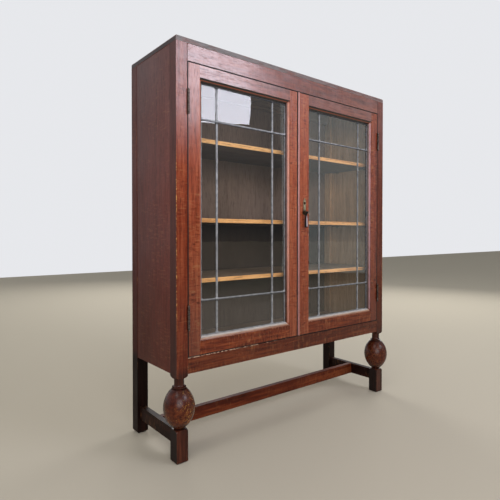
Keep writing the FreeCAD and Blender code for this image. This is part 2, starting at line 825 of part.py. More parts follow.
def stile(label, outer, inner, into_light):
    """A stile with a moulding worked along the opening, mitred at both ends, and its two mortises."""
    body = new_body(label)
    pad(body, "y", [rectangle(outer, inner, DOOR_BOTTOM, DOOR_TOP)], 0, dim.door_thickness)
    sight = inner + into_light * dim.moulding_width
    lip = [
        (inner, OPENING_BOTTOM),
        (sight, OPENING_BOTTOM + dim.moulding_width),
        (sight, OPENING_TOP - dim.moulding_width),
        (inner, OPENING_TOP),
    ]
    pad(body, "y", [lip], 0, dim.moulding_depth)
    beyond = inner + into_light * BEYOND_MOULDING
    waste = [
        (inner, -ROOM),
        (beyond, -ROOM),
        (beyond, MOULDING_BACK),
        (sight, MOULDING_BACK),
        (inner, dim.moulding_quirk, (inner + into_light * ARC_ACROSS, ARC_BACK), -into_light),
    ]
    pocket(body, "z", [waste], OPENING_BOTTOM, OPENING_TOP)
    loops = []
    for rail_inner, rail_outer, sense in DOOR_RAILS.values():
        low, high = door_tenon(rail_inner, rail_outer, sense)
        loops.append(rectangle(dim.door_tenon_setback, TENON_BACK, low, high))
    cut_into(body, "x", loops, inner, dim.door_tenon_length + dim.mortise_spare, -into_light)
    return body


def door_rail(label, left, right, inner, outer, into_light):
    """A door rail: the moulding runs on along it, and it is tenoned into both stiles."""
    body = new_body(label)
    pad(body, "y", [rectangle(left, right, inner, outer)], 0, dim.door_thickness)
    sight = inner + into_light * dim.moulding_width
    lip = [
        (left, inner),
        (right, inner),
        (right - dim.moulding_width, sight),
        (left + dim.moulding_width, sight),
    ]
    pad(body, "y", [lip], 0, dim.moulding_depth)
    beyond = inner + into_light * BEYOND_MOULDING
    waste = [
        (-ROOM, inner),
        (-ROOM, beyond),
        (MOULDING_BACK, beyond),
        (MOULDING_BACK, sight),
        (dim.moulding_quirk, inner, (ARC_BACK, inner + into_light * ARC_ACROSS), into_light),
    ]
    pocket(body, "x", [waste], left, right)
    low, high = door_tenon(inner, outer, into_light)
    tenon = rectangle(dim.door_tenon_setback, TENON_BACK, low, high)
    pad(body, "x", [tenon], left - dim.door_tenon_length, right + dim.door_tenon_length)
    place(body)


def opening_span(side):
    """Left and right edges of a door's opening, at the outer edge of its moulding."""
    return (-OPENING_OUTER, -OPENING_INNER) if side == LEFT else (OPENING_INNER, OPENING_OUTER)


def left_meeting_stile():
    """The left door's free stile: the lock's bolt enters its edge, two sliding bolts stand on its back."""
    edge = LEFT_FREE_EDGE
    body = stile("left_door_meeting_stile", edge, -OPENING_INNER, LEFT)
    half_wide, half_tall = dim.strike_plate_width / 2, dim.strike_plate_height / 2
    plate = rectangle(
        LOCK_BOLT_SETBACK - half_wide, LOCK_BOLT_SETBACK + half_wide,
        KEYHOLE_HEIGHT - half_tall, KEYHOLE_HEIGHT + half_tall,
    )
    cut_into(body, "x", [plate], edge, dim.strike_plate_thickness, LEFT)
    cut_into(body, "x", [lock_bolt_hole()], edge, dim.lock_bolt_throw + 2 * dim.mortise_spare, LEFT)
    pilot = dim.screw_radius + dim.screw_clearance
    holes = [(across, up, pilot) for across, up in bolt_screw_places()]
    depth = dim.screw_length - dim.bolt_plate_thickness + dim.mortise_spare
    cut_into(body, "y", [], dim.door_thickness, depth, -1, holes)
    place(body)


def right_meeting_stile():
    """The right door's free stile: beaded along its edge, with the keyhole and the lock's housing."""
    edge = RIGHT_FREE_EDGE
    body = stile("right_door_meeting_stile", edge, OPENING_INNER, RIGHT)
    bead = rectangle(edge, edge + dim.meeting_bead_width, 0, dim.meeting_bead_depth)
    pocket(body, "z", [bead], DOOR_BOTTOM, DOOR_TOP)
    cut_into(body, "y", [lock_plate_outline()], dim.door_thickness, dim.lock_plate_thickness, -1)
    cut_into(body, "y", [lock_case_outline()], dim.door_thickness, LOCK_DEPTH, -1)
    pocket(body, "x", [lock_bolt_hole()], edge, LOCK_LEFT)
    pocket(body, "y", [keyhole()], 0, dim.door_thickness - LOCK_DEPTH)
    pilot = dim.screw_radius + dim.screw_clearance
    holes = [(across, up, pilot) for across, up in lock_screw_places()]
    depth = dim.screw_length + dim.mortise_spare
    cut_into(body, "y", [], dim.door_thickness, depth, -1, holes)
    place(body)


def hinge_stile(name, side):
    outer = side * DOOR_HINGE_EDGE
    body = stile(f"{name}_door_hinge_stile", outer, side * OPENING_OUTER, -side)
    hinge_recess(body, outer, -side, as_size(0))
    place(body)


def meeting_bead():
    """The rounded bead let into the right door's free edge."""
    body = new_body("right_door_meeting_bead")
    left = RIGHT_FREE_EDGE
    right = left + dim.meeting_bead_width
    half = dim.meeting_bead_width / 2
    crown = dim.meeting_bead_crown
    centre = ((left + right) / 2, (half * half - crown * crown) / (2 * crown))
    floor = dim.meeting_bead_depth
    loop = [(left, floor), (right, floor), (right, 0), (left, 0, centre, -1)]
    pad(body, "z", [loop], DOOR_BOTTOM, DOOR_TOP)
    place(body)


# Leaded lights

LIGHT_FRONT = dim.moulding_depth
LIGHT_BACK = LIGHT_FRONT + dim.came_thickness
GLASS_FRONT = LIGHT_FRONT + (dim.came_thickness - dim.glass_thickness) / 2
GLASS_BACK = GLASS_FRONT + dim.glass_thickness


def pane_bands(low, high, inset):
    """The three clear bands between the cames, across or up, inside one door's sight opening."""
    sight_low, sight_high = low + dim.moulding_width, high - dim.moulding_width
    half = dim.came_width / 2
    return (
        (sight_low + dim.edge_came_show, sight_low + inset - half),
        (sight_low + inset + half, sight_high - inset - half),
        (sight_high - inset + half, sight_high - dim.edge_came_show),
    )


def pane_rectangles(side, margin):
    """Nine rectangles, one for each pane, grown on every side by the margin."""
    left, right = opening_span(side)
    columns = pane_bands(left, right, dim.came_column_inset)
    rows = pane_bands(OPENING_BOTTOM, OPENING_TOP, dim.came_row_inset)
    return [
        (x0 - margin, x1 + margin, z0 - margin, z1 + margin)
        for z0, z1 in rows for x0, x1 in columns
    ]


def cames(name, side):
    """The lead lattice: H-section cames that hold nine panes, in one soldered piece."""
    body = new_body(f"{name}_door_cames")
    left, right = opening_span(side)
    gap = dim.light_clearance
    sheet = rectangle(left + gap, right - gap, OPENING_BOTTOM + gap, OPENING_TOP - gap)
    pad(body, "y", [sheet], LIGHT_FRONT, LIGHT_BACK)
    pocket(body, "y", [rectangle(*item) for item in pane_rectangles(side, 0)], LIGHT_FRONT, LIGHT_BACK)
    channels = [rectangle(*item) for item in pane_rectangles(side, dim.pane_bite)]
    pocket(body, "y", channels, GLASS_FRONT, GLASS_BACK)
    place(body)


def panes(name, side):
    members = []
    for number, (x0, x1, z0, z1) in enumerate(pane_rectangles(side, dim.pane_bite), start=1):
        pane = doc.addObject("Part::Box", f"{name}_pane_{number}")
        bind(pane, "Length", x1 - x0)
        bind(pane, "Width", dim.glass_thickness)
        bind(pane, "Height", z1 - z0)
        members.append(place(pane, x0, GLASS_FRONT, z0, keep=False))
    group(f"{name}_door_panes", members)


def glazing_beads(name, side):
    """Four mitred strips that hold the leaded light in its rebate from behind."""
    left, right = opening_span(side)
    gap, wide = dim.light_clearance, dim.moulding_width
    outer = [(left + gap, OPENING_BOTTOM + gap), (right - gap, OPENING_BOTTOM + gap)]
    outer += [(right - gap, OPENING_TOP - gap), (left + gap, OPENING_TOP - gap)]
    inner = [(left + wide, OPENING_BOTTOM + wide), (right - wide, OPENING_BOTTOM + wide)]
    inner += [(right - wide, OPENING_TOP - wide), (left + wide, OPENING_TOP - wide)]
    members = []
    for number in range(4):
        body = new_body(f"{name}_glazing_bead_{number + 1}")
        loop = [outer[number - 1], outer[number], inner[number], inner[number - 1]]
        pad(body, "y", [loop], LIGHT_BACK, dim.door_thickness)
        members.append(place(body, keep=False))
    group(f"{name}_door_glazing_beads", members)


# Butt hinges. Each is made about its pin: sense points from the pin to the leaf's own wood.

KNUCKLES = 5
KNUCKLE_LENGTH = (dim.hinge_length - (KNUCKLES - 1) * dim.knuckle_gap) / KNUCKLES
KNUCKLE_PITCH = KNUCKLE_LENGTH + dim.knuckle_gap


def hinge_leaf(label, sense, own_first):
    """One leaf with its knuckles, notched round the other leaf's knuckles and countersunk for its screws."""
    body = new_body(label)
    half = dim.hinge_length / 2
    near = sense * dim.door_side_gap / 2
    far = near + sense * dim.leaf_thickness
    back = PIN_FORWARD + dim.leaf_width
    pad(body, "z", [rectangle(near, far, 0, back)], -half, half)
    pad(body, "z", [], -half, half, [(0, 0, dim.knuckle_radius)])
    clear = dim.knuckle_radius + ROOM
    notches = []
    for number in range(1 - own_first, KNUCKLES, 2):
        low = -half + number * KNUCKLE_PITCH - dim.knuckle_gap
        high = low + KNUCKLE_LENGTH + 2 * dim.knuckle_gap
        notches.append(rectangle(-clear, PIN_FORWARD + dim.barrel_clearance, low, high))
    pocket(body, "x", notches, -clear, clear)
    pocket(body, "z", [], -half, half, [(0, 0, dim.hinge_pin_radius + dim.pin_clearance)])
    sketch = new_sketch(body, "x", near)
    setback = PIN_FORWARD + dim.hinge_screw_setback
    for rise in HINGE_SCREW_RISES:
        draw_circle(sketch, setback, rise, dim.screw_radius + dim.screw_clearance)
    countersink(body, sketch, sense > 0)
    return body


def countersink(body, sketch, reversed_way):
    """Countersunk clearance holes for wood screws, through the whole plate."""
    doc.recompute()
    hole = body.newObject("PartDesign::Hole", f"{body.Name}_hole")
    hole.Profile = (sketch, [""])
    doc.recompute()
    hole.DepthType = "ThroughAll"
    hole.Reversed = reversed_way
    hole.HoleCutType = "Countersink"
    hole.HoleCutCustomValues = True
    bind(hole, "Diameter", 2 * (dim.screw_radius + dim.screw_clearance))
    bind(hole, "HoleCutDiameter", 2 * (dim.screw_head_radius + dim.screw_clearance))
    slope = (dim.screw_head_radius - dim.screw_radius) / dim.screw_head_height
    hole.setExpression("HoleCutCountersinkAngle", f"2 * atan({slope.text})")
    return hole


def hinge_pin(label):
    """A hinge pin with a small button at each end."""
    body = new_body(label)
    half = dim.hinge_length / 2
    end = half + dim.finial_height
    loop = [
        (0, -end),
        (dim.finial_radius, -end),
        (dim.finial_radius, -half),
        (dim.hinge_pin_radius, -half),
        (dim.hinge_pin_radius, half),
        (dim.finial_radius, half),
        (dim.finial_radius, end),
        (0, end),
    ]
    revolve(body, "Revolution", loop)
    return body


def hinges(name, side):
    """Two butt hinges between a front post and its door."""
    post_leaves, door_leaves, pins, post_screws, door_screws = [], [], [], [], []
    for level, up in zip(("lower", "upper"), HINGE_HEIGHTS):
        stem = f"{name}_{level}_hinge"
        place_here = (side * PIN_ACROSS, -PIN_FORWARD, up)
        post_leaves.append(place(hinge_leaf(f"{stem}_post_leaf", side, True), *place_here, keep=False))
        door_leaves.append(place(hinge_leaf(f"{stem}_door_leaf", -side, False), *place_here, keep=False))
        pins.append(place(hinge_pin(f"{stem}_pin"), *place_here, keep=False))
        for number, rise in enumerate(HINGE_SCREW_RISES):
            for kind, edge, sense, screws in (
                ("post", POST_INNER, side, post_screws),
                ("door", DOOR_HINGE_EDGE, -side, door_screws),
            ):
                screws.append(screw(
                    f"{stem}_{kind}_screw_{number}", "x", sense,
                    side * edge, dim.hinge_screw_setback, up + rise,
                ))
    group(f"{name}_hinge_post_leaves", post_leaves)
    group(f"{name}_hinge_door_leaves", door_leaves)
    group(f"{name}_hinge_pins", pins)
    group(f"{name}_hinge_door_screws", door_screws)
    return post_screws


# Handle, on the right door's free stile

PULL_FORWARD = dim.handle_plate_thickness + dim.pull_pin_stand
LUG_INNER = dim.pull_eye_width / 2 + dim.handle_lug_gap
LUG_OUTER = LUG_INNER + dim.handle_lug_thickness


def keyhole():
    """A round hole with a slot below it."""
    half = dim.keyhole_slot / 2
    middle = dim.handle_centre
    chin = KEYHOLE_HEIGHT - root(dim.keyhole_radius * dim.keyhole_radius - half * half)
    toe = KEYHOLE_HEIGHT - dim.keyhole_drop
    centre = (middle, KEYHOLE_HEIGHT)
    left, right = middle - half, middle + half
    return [(left, toe), (right, toe), (right, chin), (left, chin, centre, 1)]


def concave_radius(run, rise):
    """Radius of an arc that leaves upright and moves sideways by run while it climbs by rise."""
    return (run * run + rise * rise) / (2 * run)


def handle_plate():
    """A slim backplate: a round lobe behind the pull, a waist, and a pointed head round the keyhole."""
    body = new_body("handle_plate")
    middle, base = dim.handle_centre, dim.handle_pivot_height
    lobe, waist, head = dim.handle_plate_lobe, dim.handle_plate_waist, dim.handle_plate_head
    waist_up = base + dim.handle_plate_waist_rise
    head_up = base + dim.handle_plate_head_rise
    tip_up = base + dim.handle_plate_tip_rise
    lower = waist + concave_radius(lobe - waist, dim.handle_plate_waist_rise)
    upper = waist + concave_radius(head - waist, head_up - waist_up)
    point = head - concave_radius(head, tip_up - head_up)
    loop = [
        (middle + lobe, base, (middle, base), 1),
        (middle + waist, waist_up, (middle + lower, waist_up), -1),
        (middle + head, head_up, (middle + upper, waist_up), -1),
        (middle, tip_up, (middle + point, head_up), 1),
        (middle - head, head_up, (middle - point, head_up), 1),
        (middle - waist, waist_up, (middle - upper, waist_up), -1),
        (middle - lobe, base, (middle - lower, waist_up), -1),
    ]
    pad(body, "y", [loop], -dim.handle_plate_thickness, 0)
    radius = dim.handle_lug_radius
    lug = [
        (-dim.handle_plate_thickness, base - radius),
        (-dim.handle_plate_thickness, base + radius),
        (-PULL_FORWARD, base + radius),
        (-PULL_FORWARD, base - radius, (-PULL_FORWARD, base), 1),
    ]
    pad(body, "x", [lug], middle - LUG_OUTER, middle - LUG_INNER)
    pad(body, "x", [lug], middle + LUG_INNER, middle + LUG_OUTER)
    bore = dim.pull_pin_radius + dim.pin_clearance
    pocket(body, "x", [], middle - LUG_OUTER, middle + LUG_OUTER, [(-PULL_FORWARD, base, bore)])
    pocket(body, "y", [keyhole()], -dim.handle_plate_thickness, 0)
    place(body)


def handle_pin():
    body = new_body("handle_pin")
    pad(body, "x", [], -LUG_OUTER, LUG_OUTER, [(0, 0, dim.pull_pin_radius)])
    place(body, dim.handle_centre, -PULL_FORWARD, dim.handle_pivot_height)


def drop_handle():
    """The drop pull: an eye on the pin and a flat tongue that widens downwards, bevelled along its edges."""
    body = new_body("drop_handle")
    half = dim.pull_eye_width / 2
    top = half - dim.pull_shoulder
    foot, corner = dim.pull_foot_width / 2, dim.pull_corner
    low = -dim.pull_length
    loop = [
        (-top, 0),
        (-foot, low + corner),
        (corner - foot, low, (corner - foot, low + corner), 1),
        (foot - corner, low),
        (foot, low + corner, (foot - corner, low + corner), 1),
        (top, 0),
    ]
    face = dim.pull_thickness / 2
    pad(body, "y", [loop], -face, face)

    def on_face(edge):
        """Edges of the front and back faces, apart from the ones inside the eye."""
        box = edge.BoundBox
        flat = abs(abs(box.YMin) - face.value) < TOUCH and box.YLength < TOUCH
        return flat and box.ZMin < -TOUCH

    edge_feature(body, "Chamfer", "Size", dim.pull_bevel, on_face)
    pad(body, "x", [], -half, half, [(0, 0, dim.pull_eye_radius)])
    pocket(body, "x", [], -half, half, [(0, 0, dim.pull_pin_radius + dim.pin_clearance)])
    place(body, dim.handle_centre, -PULL_FORWARD, dim.handle_pivot_height)


# Lock, let into the back of the right door's free stile

def lock_case_outline():
    return rectangle(LOCK_LEFT, LOCK_RIGHT, LOCK_LOW, LOCK_HIGH)


def lock_plate_outline():
    margin, ear = dim.lock_plate_margin, dim.lock_plate_ear
    return rectangle(LOCK_LEFT - margin, LOCK_RIGHT + margin, LOCK_LOW - ear, LOCK_HIGH + ear)


def lock_bolt_hole():
    """Section of the way that the lock's bolt slides in."""
    half_thick = dim.lock_bolt_thickness / 2 + dim.lock_bolt_clearance
    half_tall = dim.lock_bolt_height / 2 + dim.lock_bolt_clearance
    return rectangle(
        LOCK_BOLT_SETBACK - half_thick, LOCK_BOLT_SETBACK + half_thick,
        KEYHOLE_HEIGHT - half_tall, KEYHOLE_HEIGHT + half_tall,
    )


def lock_screw_places():
    across = (LOCK_LEFT + LOCK_RIGHT) / 2
    away = dim.lock_case_height / 2 + dim.lock_plate_ear / 2
    return [(across, KEYHOLE_HEIGHT - away), (across, KEYHOLE_HEIGHT + away)]


def lock_case():
    """The lock's case with its cover plate, the way for the bolt and the blind hole for the key."""
    body = new_body("lock_case")
    front = dim.door_thickness - LOCK_DEPTH
    pad(body, "y", [lock_plate_outline()], dim.door_thickness - dim.lock_plate_thickness, dim.door_thickness)
    pad(body, "y", [lock_case_outline()], front, dim.door_thickness - dim.lock_plate_thickness)
    bolt_end = LOCK_BOLT_TIP + dim.lock_bolt_length + dim.mortise_spare
    pocket(body, "x", [lock_bolt_hole()], LOCK_LEFT, bolt_end)
    pocket(body, "y", [keyhole()], front, front + dim.keyhole_depth)
    sketch = new_sketch(body, "y", dim.door_thickness)
    for across, up in lock_screw_places():
        draw_circle(sketch, across, up, dim.screw_radius + dim.screw_clearance)
    countersink(body, sketch, True)
    place(body)


def lock_bolt():
    body = new_body("lock_bolt")
    half_thick, half_tall = dim.lock_bolt_thickness / 2, dim.lock_bolt_height / 2
    bar = rectangle(
        LOCK_BOLT_SETBACK - half_thick, LOCK_BOLT_SETBACK + half_thick,
        KEYHOLE_HEIGHT - half_tall, KEYHOLE_HEIGHT + half_tall,
    )
    pad(body, "x", [bar], LOCK_BOLT_TIP, LOCK_BOLT_TIP + dim.lock_bolt_length)
    place(body)


def lock_screws():
    members = [
        screw(f"lock_screw_{number}", "y", -1, across, dim.door_thickness, up)
        for number, (across, up) in enumerate(lock_screw_places())
    ]
    group("lock_screws", members)


def strike_plate():
    """A thin plate let into the left door's free edge, with a slot for the lock's bolt."""
    body = new_body("lock_strike_plate")
    edge = LEFT_FREE_EDGE
    half_wide, half_tall = dim.strike_plate_width / 2, dim.strike_plate_height / 2
    sheet = rectangle(
        LOCK_BOLT_SETBACK - half_wide, LOCK_BOLT_SETBACK + half_wide,
        KEYHOLE_HEIGHT - half_tall, KEYHOLE_HEIGHT + half_tall,
    )
    pad(body, "x", [sheet], edge - dim.strike_plate_thickness, edge)
    pocket(body, "x", [lock_bolt_hole()], edge - dim.strike_plate_thickness, edge)
    place(body)


# Sliding bolts on the back of the left door's free stile. Sense is 1 for the upper bolt, -1 for the lower.

BOLTS = (("upper", 1, DOOR_STOP_BOTTOM), ("lower", -1, APRON_TOP))


def bolt_tip(sense, socket_face):
    return socket_face - sense * dim.bolt_end_gap


def bolt_plate_middle(sense, socket_face):
    return bolt_tip(sense, socket_face) - sense * (dim.bolt_tip_overhang + dim.bolt_plate_length / 2)


def bolt_screw_places():
    """Two screws for each bolt's plate, one on each side of the bolt."""
    places = []
    for _, sense, face in BOLTS:
        middle = bolt_plate_middle(sense, face)
        for across in (BOLT_ACROSS - dim.bolt_screw_offset, BOLT_ACROSS + dim.bolt_screw_offset):
            places.append((across, middle))
    return places


def bolt_plates():
    """The plate of each sliding bolt, with two round-backed guides in one piece with it."""
    members = []
    for name, sense, face in BOLTS:
        body = new_body(f"{name}_bolt_plate")
        middle = bolt_plate_middle(sense, face)
        half_wide, half_long = dim.bolt_plate_width / 2, dim.bolt_plate_length / 2
        guide_base = dim.door_thickness + dim.bolt_plate_thickness
        sheet = rectangle(
            BOLT_ACROSS - half_wide, BOLT_ACROSS + half_wide, middle - half_long, middle + half_long,
        )
        pad(body, "y", [sheet], dim.door_thickness, guide_base)
        round_back = dim.bolt_radius + dim.bolt_guide_wall
        guide = [
            (BOLT_ACROSS - round_back, guide_base),
            (BOLT_ACROSS + round_back, guide_base),
            (BOLT_ACROSS + round_back, BOLT_SETBACK),
            (BOLT_ACROSS - round_back, BOLT_SETBACK, (BOLT_ACROSS, BOLT_SETBACK), 1),
        ]
        for low in (middle - half_long, middle + half_long - dim.bolt_guide_length):
            pad(body, "z", [guide], low, low + dim.bolt_guide_length)
        bore = (BOLT_ACROSS, BOLT_SETBACK, dim.bolt_radius + dim.bolt_clearance)
        pocket(body, "z", [], middle - half_long, middle + half_long, [bore])
        sketch = new_sketch(body, "y", guide_base)
        for across in (BOLT_ACROSS - dim.bolt_screw_offset, BOLT_ACROSS + dim.bolt_screw_offset):
            draw_circle(sketch, across, middle, dim.screw_radius + dim.screw_clearance)
        countersink(body, sketch, True)
        members.append(place(body, keep=False))
    group("left_door_bolt_plates", members)


def bolt_screws():
    back = dim.door_thickness + dim.bolt_plate_thickness
    members = [
        screw(f"bolt_screw_{number}", "y", -1, across, back, up)
        for number, (across, up) in enumerate(bolt_screw_places())
    ]
    group("left_door_bolt_screws", members)


def sliding_bolt(name, sense, face):
    """A round bolt with a knob to slide it by, at rest drawn back from its socket."""
    body = new_body(f"{name}_bolt")
    tip = bolt_tip(sense, face)
    low, high = (tip - dim.bolt_length, tip) if sense > 0 else (tip, tip + dim.bolt_length)
    pad(body, "z", [], low, high, [(BOLT_ACROSS, BOLT_SETBACK, dim.bolt_radius)])
    knob_up = bolt_plate_middle(sense, face) - sense * dim.bolt_throw / 2
    reach = BOLT_SETBACK + dim.bolt_radius + dim.bolt_knob_reach
    pad(body, "y", [], BOLT_SETBACK, reach, [(BOLT_ACROSS, knob_up, dim.bolt_knob_radius)])
    place(body)


# The whole bookcase

hinge_post_screws = []
for name, side in SIDES:
    front_post(name, side)
    rear_post(name, side)
    side_panel(name, side)
    side_stretcher(name, side)
for label, (bottom, top) in FRONT_RAILS.items():
    rail(label, bottom, top, as_size(0), RAIL_THICKNESS, RAIL_TENON_SETBACK)
for label, (bottom, top) in REAR_RAILS.items():
    rail(label, bottom, top, REAR_RAIL_FRONT, dim.rear_rail_thickness, REAR_TENON_SETBACK)
top_board()
back_panel()
bottom_board()
bottom_bearers()
door_stop()
top_glue_blocks()
centre_stretcher()
for name, up in SHELVES:
    shelf(name, up)
shelf_pegs()
for name, side in SIDES:
    left, right = opening_span(side)
    hinge_stile(name, side)
    for level, (inner, outer, into_light) in DOOR_RAILS.items():
        door_rail(f"{name}_door_{level}_rail", left, right, inner, outer, into_light)
    cames(name, side)
    panes(name, side)
    glazing_beads(name, side)
    hinge_post_screws += hinges(name, side)
group("hinge_post_screws", hinge_post_screws)
left_meeting_stile()
right_meeting_stile()
meeting_bead()
handle_plate()
handle_pin()
drop_handle()
lock_case()
lock_bolt()
lock_screws()
strike_plate()
bolt_plates()
bolt_screws()
for name, sense, face in BOLTS:
    sliding_bolt(name, sense, face)

doc.recompute()
for item in doc.Objects:
    if "Invalid" in item.State or "Error" in item.State:
        raise RuntimeError(f"{item.Label} did not build: {item.State}")
for node in nodes:
    if node.Shape.isNull() or not node.Shape.isValid():
        raise RuntimeError(f"{node.Label} has no sound shape")

os.makedirs("parts", exist_ok=True)
for node in nodes:
    node.Shape.exportStep(f"parts/{node.Label}.step")
print(len(nodes), "nodes written")
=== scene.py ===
import math

import bmesh
import bpy
from mathutils import Matrix, Vector, noise


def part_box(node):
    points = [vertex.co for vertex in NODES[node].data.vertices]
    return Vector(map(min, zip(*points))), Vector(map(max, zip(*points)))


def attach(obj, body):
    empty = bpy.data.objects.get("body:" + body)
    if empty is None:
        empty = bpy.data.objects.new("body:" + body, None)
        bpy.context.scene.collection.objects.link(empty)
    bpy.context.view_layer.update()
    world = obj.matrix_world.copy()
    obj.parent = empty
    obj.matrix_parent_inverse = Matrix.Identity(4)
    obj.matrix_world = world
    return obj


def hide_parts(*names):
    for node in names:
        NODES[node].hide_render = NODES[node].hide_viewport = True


# The looks of the glazed bookcase: stained and polished oak, leaded glass and aged brass.
# Metres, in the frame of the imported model: X to the viewer's right, Y to the back, Z up.

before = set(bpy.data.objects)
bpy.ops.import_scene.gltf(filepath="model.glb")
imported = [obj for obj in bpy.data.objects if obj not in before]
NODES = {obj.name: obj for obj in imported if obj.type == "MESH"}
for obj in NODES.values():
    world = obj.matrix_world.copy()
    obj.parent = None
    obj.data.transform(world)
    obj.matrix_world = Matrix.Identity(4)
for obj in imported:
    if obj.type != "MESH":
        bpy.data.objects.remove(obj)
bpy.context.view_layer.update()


# Building blocks for materials

MIX_SHARE, MIX_FIRST, MIX_SECOND, MIX_RESULT = 0, 6, 7, 2
FLAT_TO_ARRIS = (0.985, 0.80)
OPEN_TO_DEEP = (0.62, 0.20)


class Shader:
    """One material's node tree, built with short calls. A socket or a plain value can feed any input.

    A span is a pair of values: its mask goes from 0 at the first to 1 at the second, whichever is higher.
    """

    def __init__(self, name):
        self.material = bpy.data.materials.new(name)
        self.material.use_nodes = True
        self.tree = self.material.node_tree
        self.tree.nodes.clear()
        spots = self.node("ShaderNodeTexCoord").outputs
        self.place = spots["Object"]
        self.normal = spots["Normal"]

    def node(self, kind, inputs=None, **settings):
        """A new node of one kind, with its inputs fed and its settings set."""
        made = self.tree.nodes.new(kind)
        for key, value in settings.items():
            setattr(made, key, value)
        for key, value in (inputs or {}).items():
            self.feed(made.inputs[key], value)
        return made

    def feed(self, socket, value):
        if isinstance(value, bpy.types.NodeSocket):
            self.tree.links.new(value, socket)
        elif socket.type == "RGBA" and len(value) == 3:
            socket.default_value = (*value, 1.0)
        else:
            socket.default_value = value

    def math(self, operation, first, second=0.0, *others):
        """An operation on one, two or more values, from left to right."""
        result = self.node("ShaderNodeMath", {0: first, 1: second}, operation=operation).outputs[0]
        for other in others:
            result = self.math(operation, result, other)
        return result

    def times(self, first, *others):
        """The product of masks and shares."""
        return self.math("MULTIPLY", first, *others) if others else first

    def vector(self, operation, first, second):
        """An operation on two vectors, as the node's outputs."""
        return self.node("ShaderNodeVectorMath", {0: first, 1: second}, operation=operation).outputs

    def stretch(self, scale, source=None):
        """Coordinates on the piece, scaled by axis; the texture moves with the piece."""
        made = self.node("ShaderNodeMapping", {"Vector": source or self.place, "Scale": scale})
        return made.outputs["Vector"]

    def noise(self, vector=None, scale=1.0, detail=3.0, roughness=0.55, distortion=0.0):
        inputs = {"Vector": vector or self.place, "Scale": scale, "Detail": detail, "Roughness": roughness,
                  "Distortion": distortion}
        return self.node("ShaderNodeTexNoise", inputs).outputs["Fac"]

    def span(self, value, low, high, to_low=0.0, to_high=1.0):
        """A value mapped from one span to another, and held at its ends."""
        inputs = {"Value": value, "From Min": low, "From Max": high, "To Min": to_low, "To Max": to_high}
        return self.node("ShaderNodeMapRange", inputs).outputs["Result"]

    def band(self, value, low, high):
        """Mask of a band of values, with one span for each of its ends."""
        return self.times(self.span(value, *low), self.span(value, *high))

    def ramp(self, value, stops):
        """A colour by value, from stops of a place and a colour."""
        made = self.node("ShaderNodeValToRGB", {"Fac": value})
        elements = made.color_ramp.elements
        while len(elements) < len(stops):
            elements.new(0.5)
        for element, (place, colour) in zip(elements, stops):
            element.position = place
            element.color = (*colour, 1.0)
        return made.outputs["Color"]

    def mix(self, share, first, second, blend="MIX"):
        made = self.node("ShaderNodeMix", data_type="RGBA", blend_type=blend)
        self.feed(made.inputs[MIX_SHARE], share)
        self.feed(made.inputs[MIX_FIRST], first)
        self.feed(made.inputs[MIX_SECOND], second)
        return made.outputs[MIX_RESULT]

    def lay(self, colour, over, *shares):
        """One colour laid over another, by the product of masks and shares."""
        return self.mix(self.times(*shares), colour, over)

    def tint(self, colour, factor):
        """A colour multiplied by a mask or by another colour."""
        return self.mix(1.0, colour, factor, blend="MULTIPLY")

    def axis(self, name, source=None):
        """One coordinate of the place on the piece, or of another vector."""
        return self.node("ShaderNodeSeparateXYZ", {0: source or self.place}).outputs[name]

    def edges(self, radius):
        """How near a point lies to a convex or concave edge, from 0 on a flat to about 1 on an arris."""
        soft = self.node("ShaderNodeBevel", {"Radius": radius}, samples=4).outputs["Normal"]
        flat = self.node("ShaderNodeNewGeometry").outputs["True Normal"]
        return self.span(self.vector("DOT_PRODUCT", soft, flat)["Value"], *FLAT_TO_ARRIS)

    def hollow(self, reach):
        """How deep a point lies in a gap or corner, from 0 in the open to 1 in a narrow joint."""
        made = self.node("ShaderNodeAmbientOcclusion", {"Distance": reach}, samples=6)
        return self.span(made.outputs["AO"], *OPEN_TO_DEEP)

    def bump(self, height, strength, distance):
        inputs = {"Height": height, "Strength": strength, "Distance": distance}
        return self.node("ShaderNodeBump", inputs).outputs["Normal"]

    def finish(self, shader):
        output = self.node("ShaderNodeOutputMaterial")
        self.tree.links.new(shader, output.inputs["Surface"])
        return self.material

    def surface(self, **inputs):
        """A Principled surface; underscores stand for spaces in the names of its inputs."""
        named = {key.replace("_", " "): value for key, value in inputs.items()}
        return self.finish(self.node("ShaderNodeBsdfPrincipled", named).outputs["BSDF"])


# Stains and tones of the wood

def stops(middle, dark, mean, pale):
    """A stain as the stops of a ramp, from the dark streaks of the grain to the pale ones."""
    return (0.0, dark), (middle, mean), (1.0, pale)


DEEP_STAIN = stops(0.45, (0.080, 0.010, 0.004), (0.195, 0.032, 0.012), (0.320, 0.074, 0.030))
WARM_STAIN = stops(0.45, (0.124, 0.020, 0.006), (0.292, 0.057, 0.021), (0.428, 0.118, 0.047))
LOW_STAIN = stops(0.45, (0.034, 0.005, 0.002), (0.118, 0.019, 0.006), (0.260, 0.062, 0.019))
SIDE_STAIN = stops(0.5, (0.088, 0.018, 0.012), (0.128, 0.029, 0.020), (0.168, 0.044, 0.031))
POST_SIDE_STAIN = stops(0.5, (0.058, 0.012, 0.009), (0.096, 0.022, 0.016), (0.134, 0.036, 0.026))
LEG_STAIN = stops(0.5, (0.020, 0.005, 0.003), (0.076, 0.017, 0.009), (0.180, 0.046, 0.022))
BLACK_STAIN = stops(0.5, (0.004, 0.0015, 0.001), (0.016, 0.0045, 0.003), (0.038, 0.011, 0.007))
INNER_TONE = stops(0.5, (0.150, 0.095, 0.062), (0.260, 0.175, 0.120), (0.360, 0.255, 0.180))
SIDE_INNER_TONE = stops(0.5, (0.330, 0.180, 0.088), (0.520, 0.315, 0.165), (0.660, 0.430, 0.250))
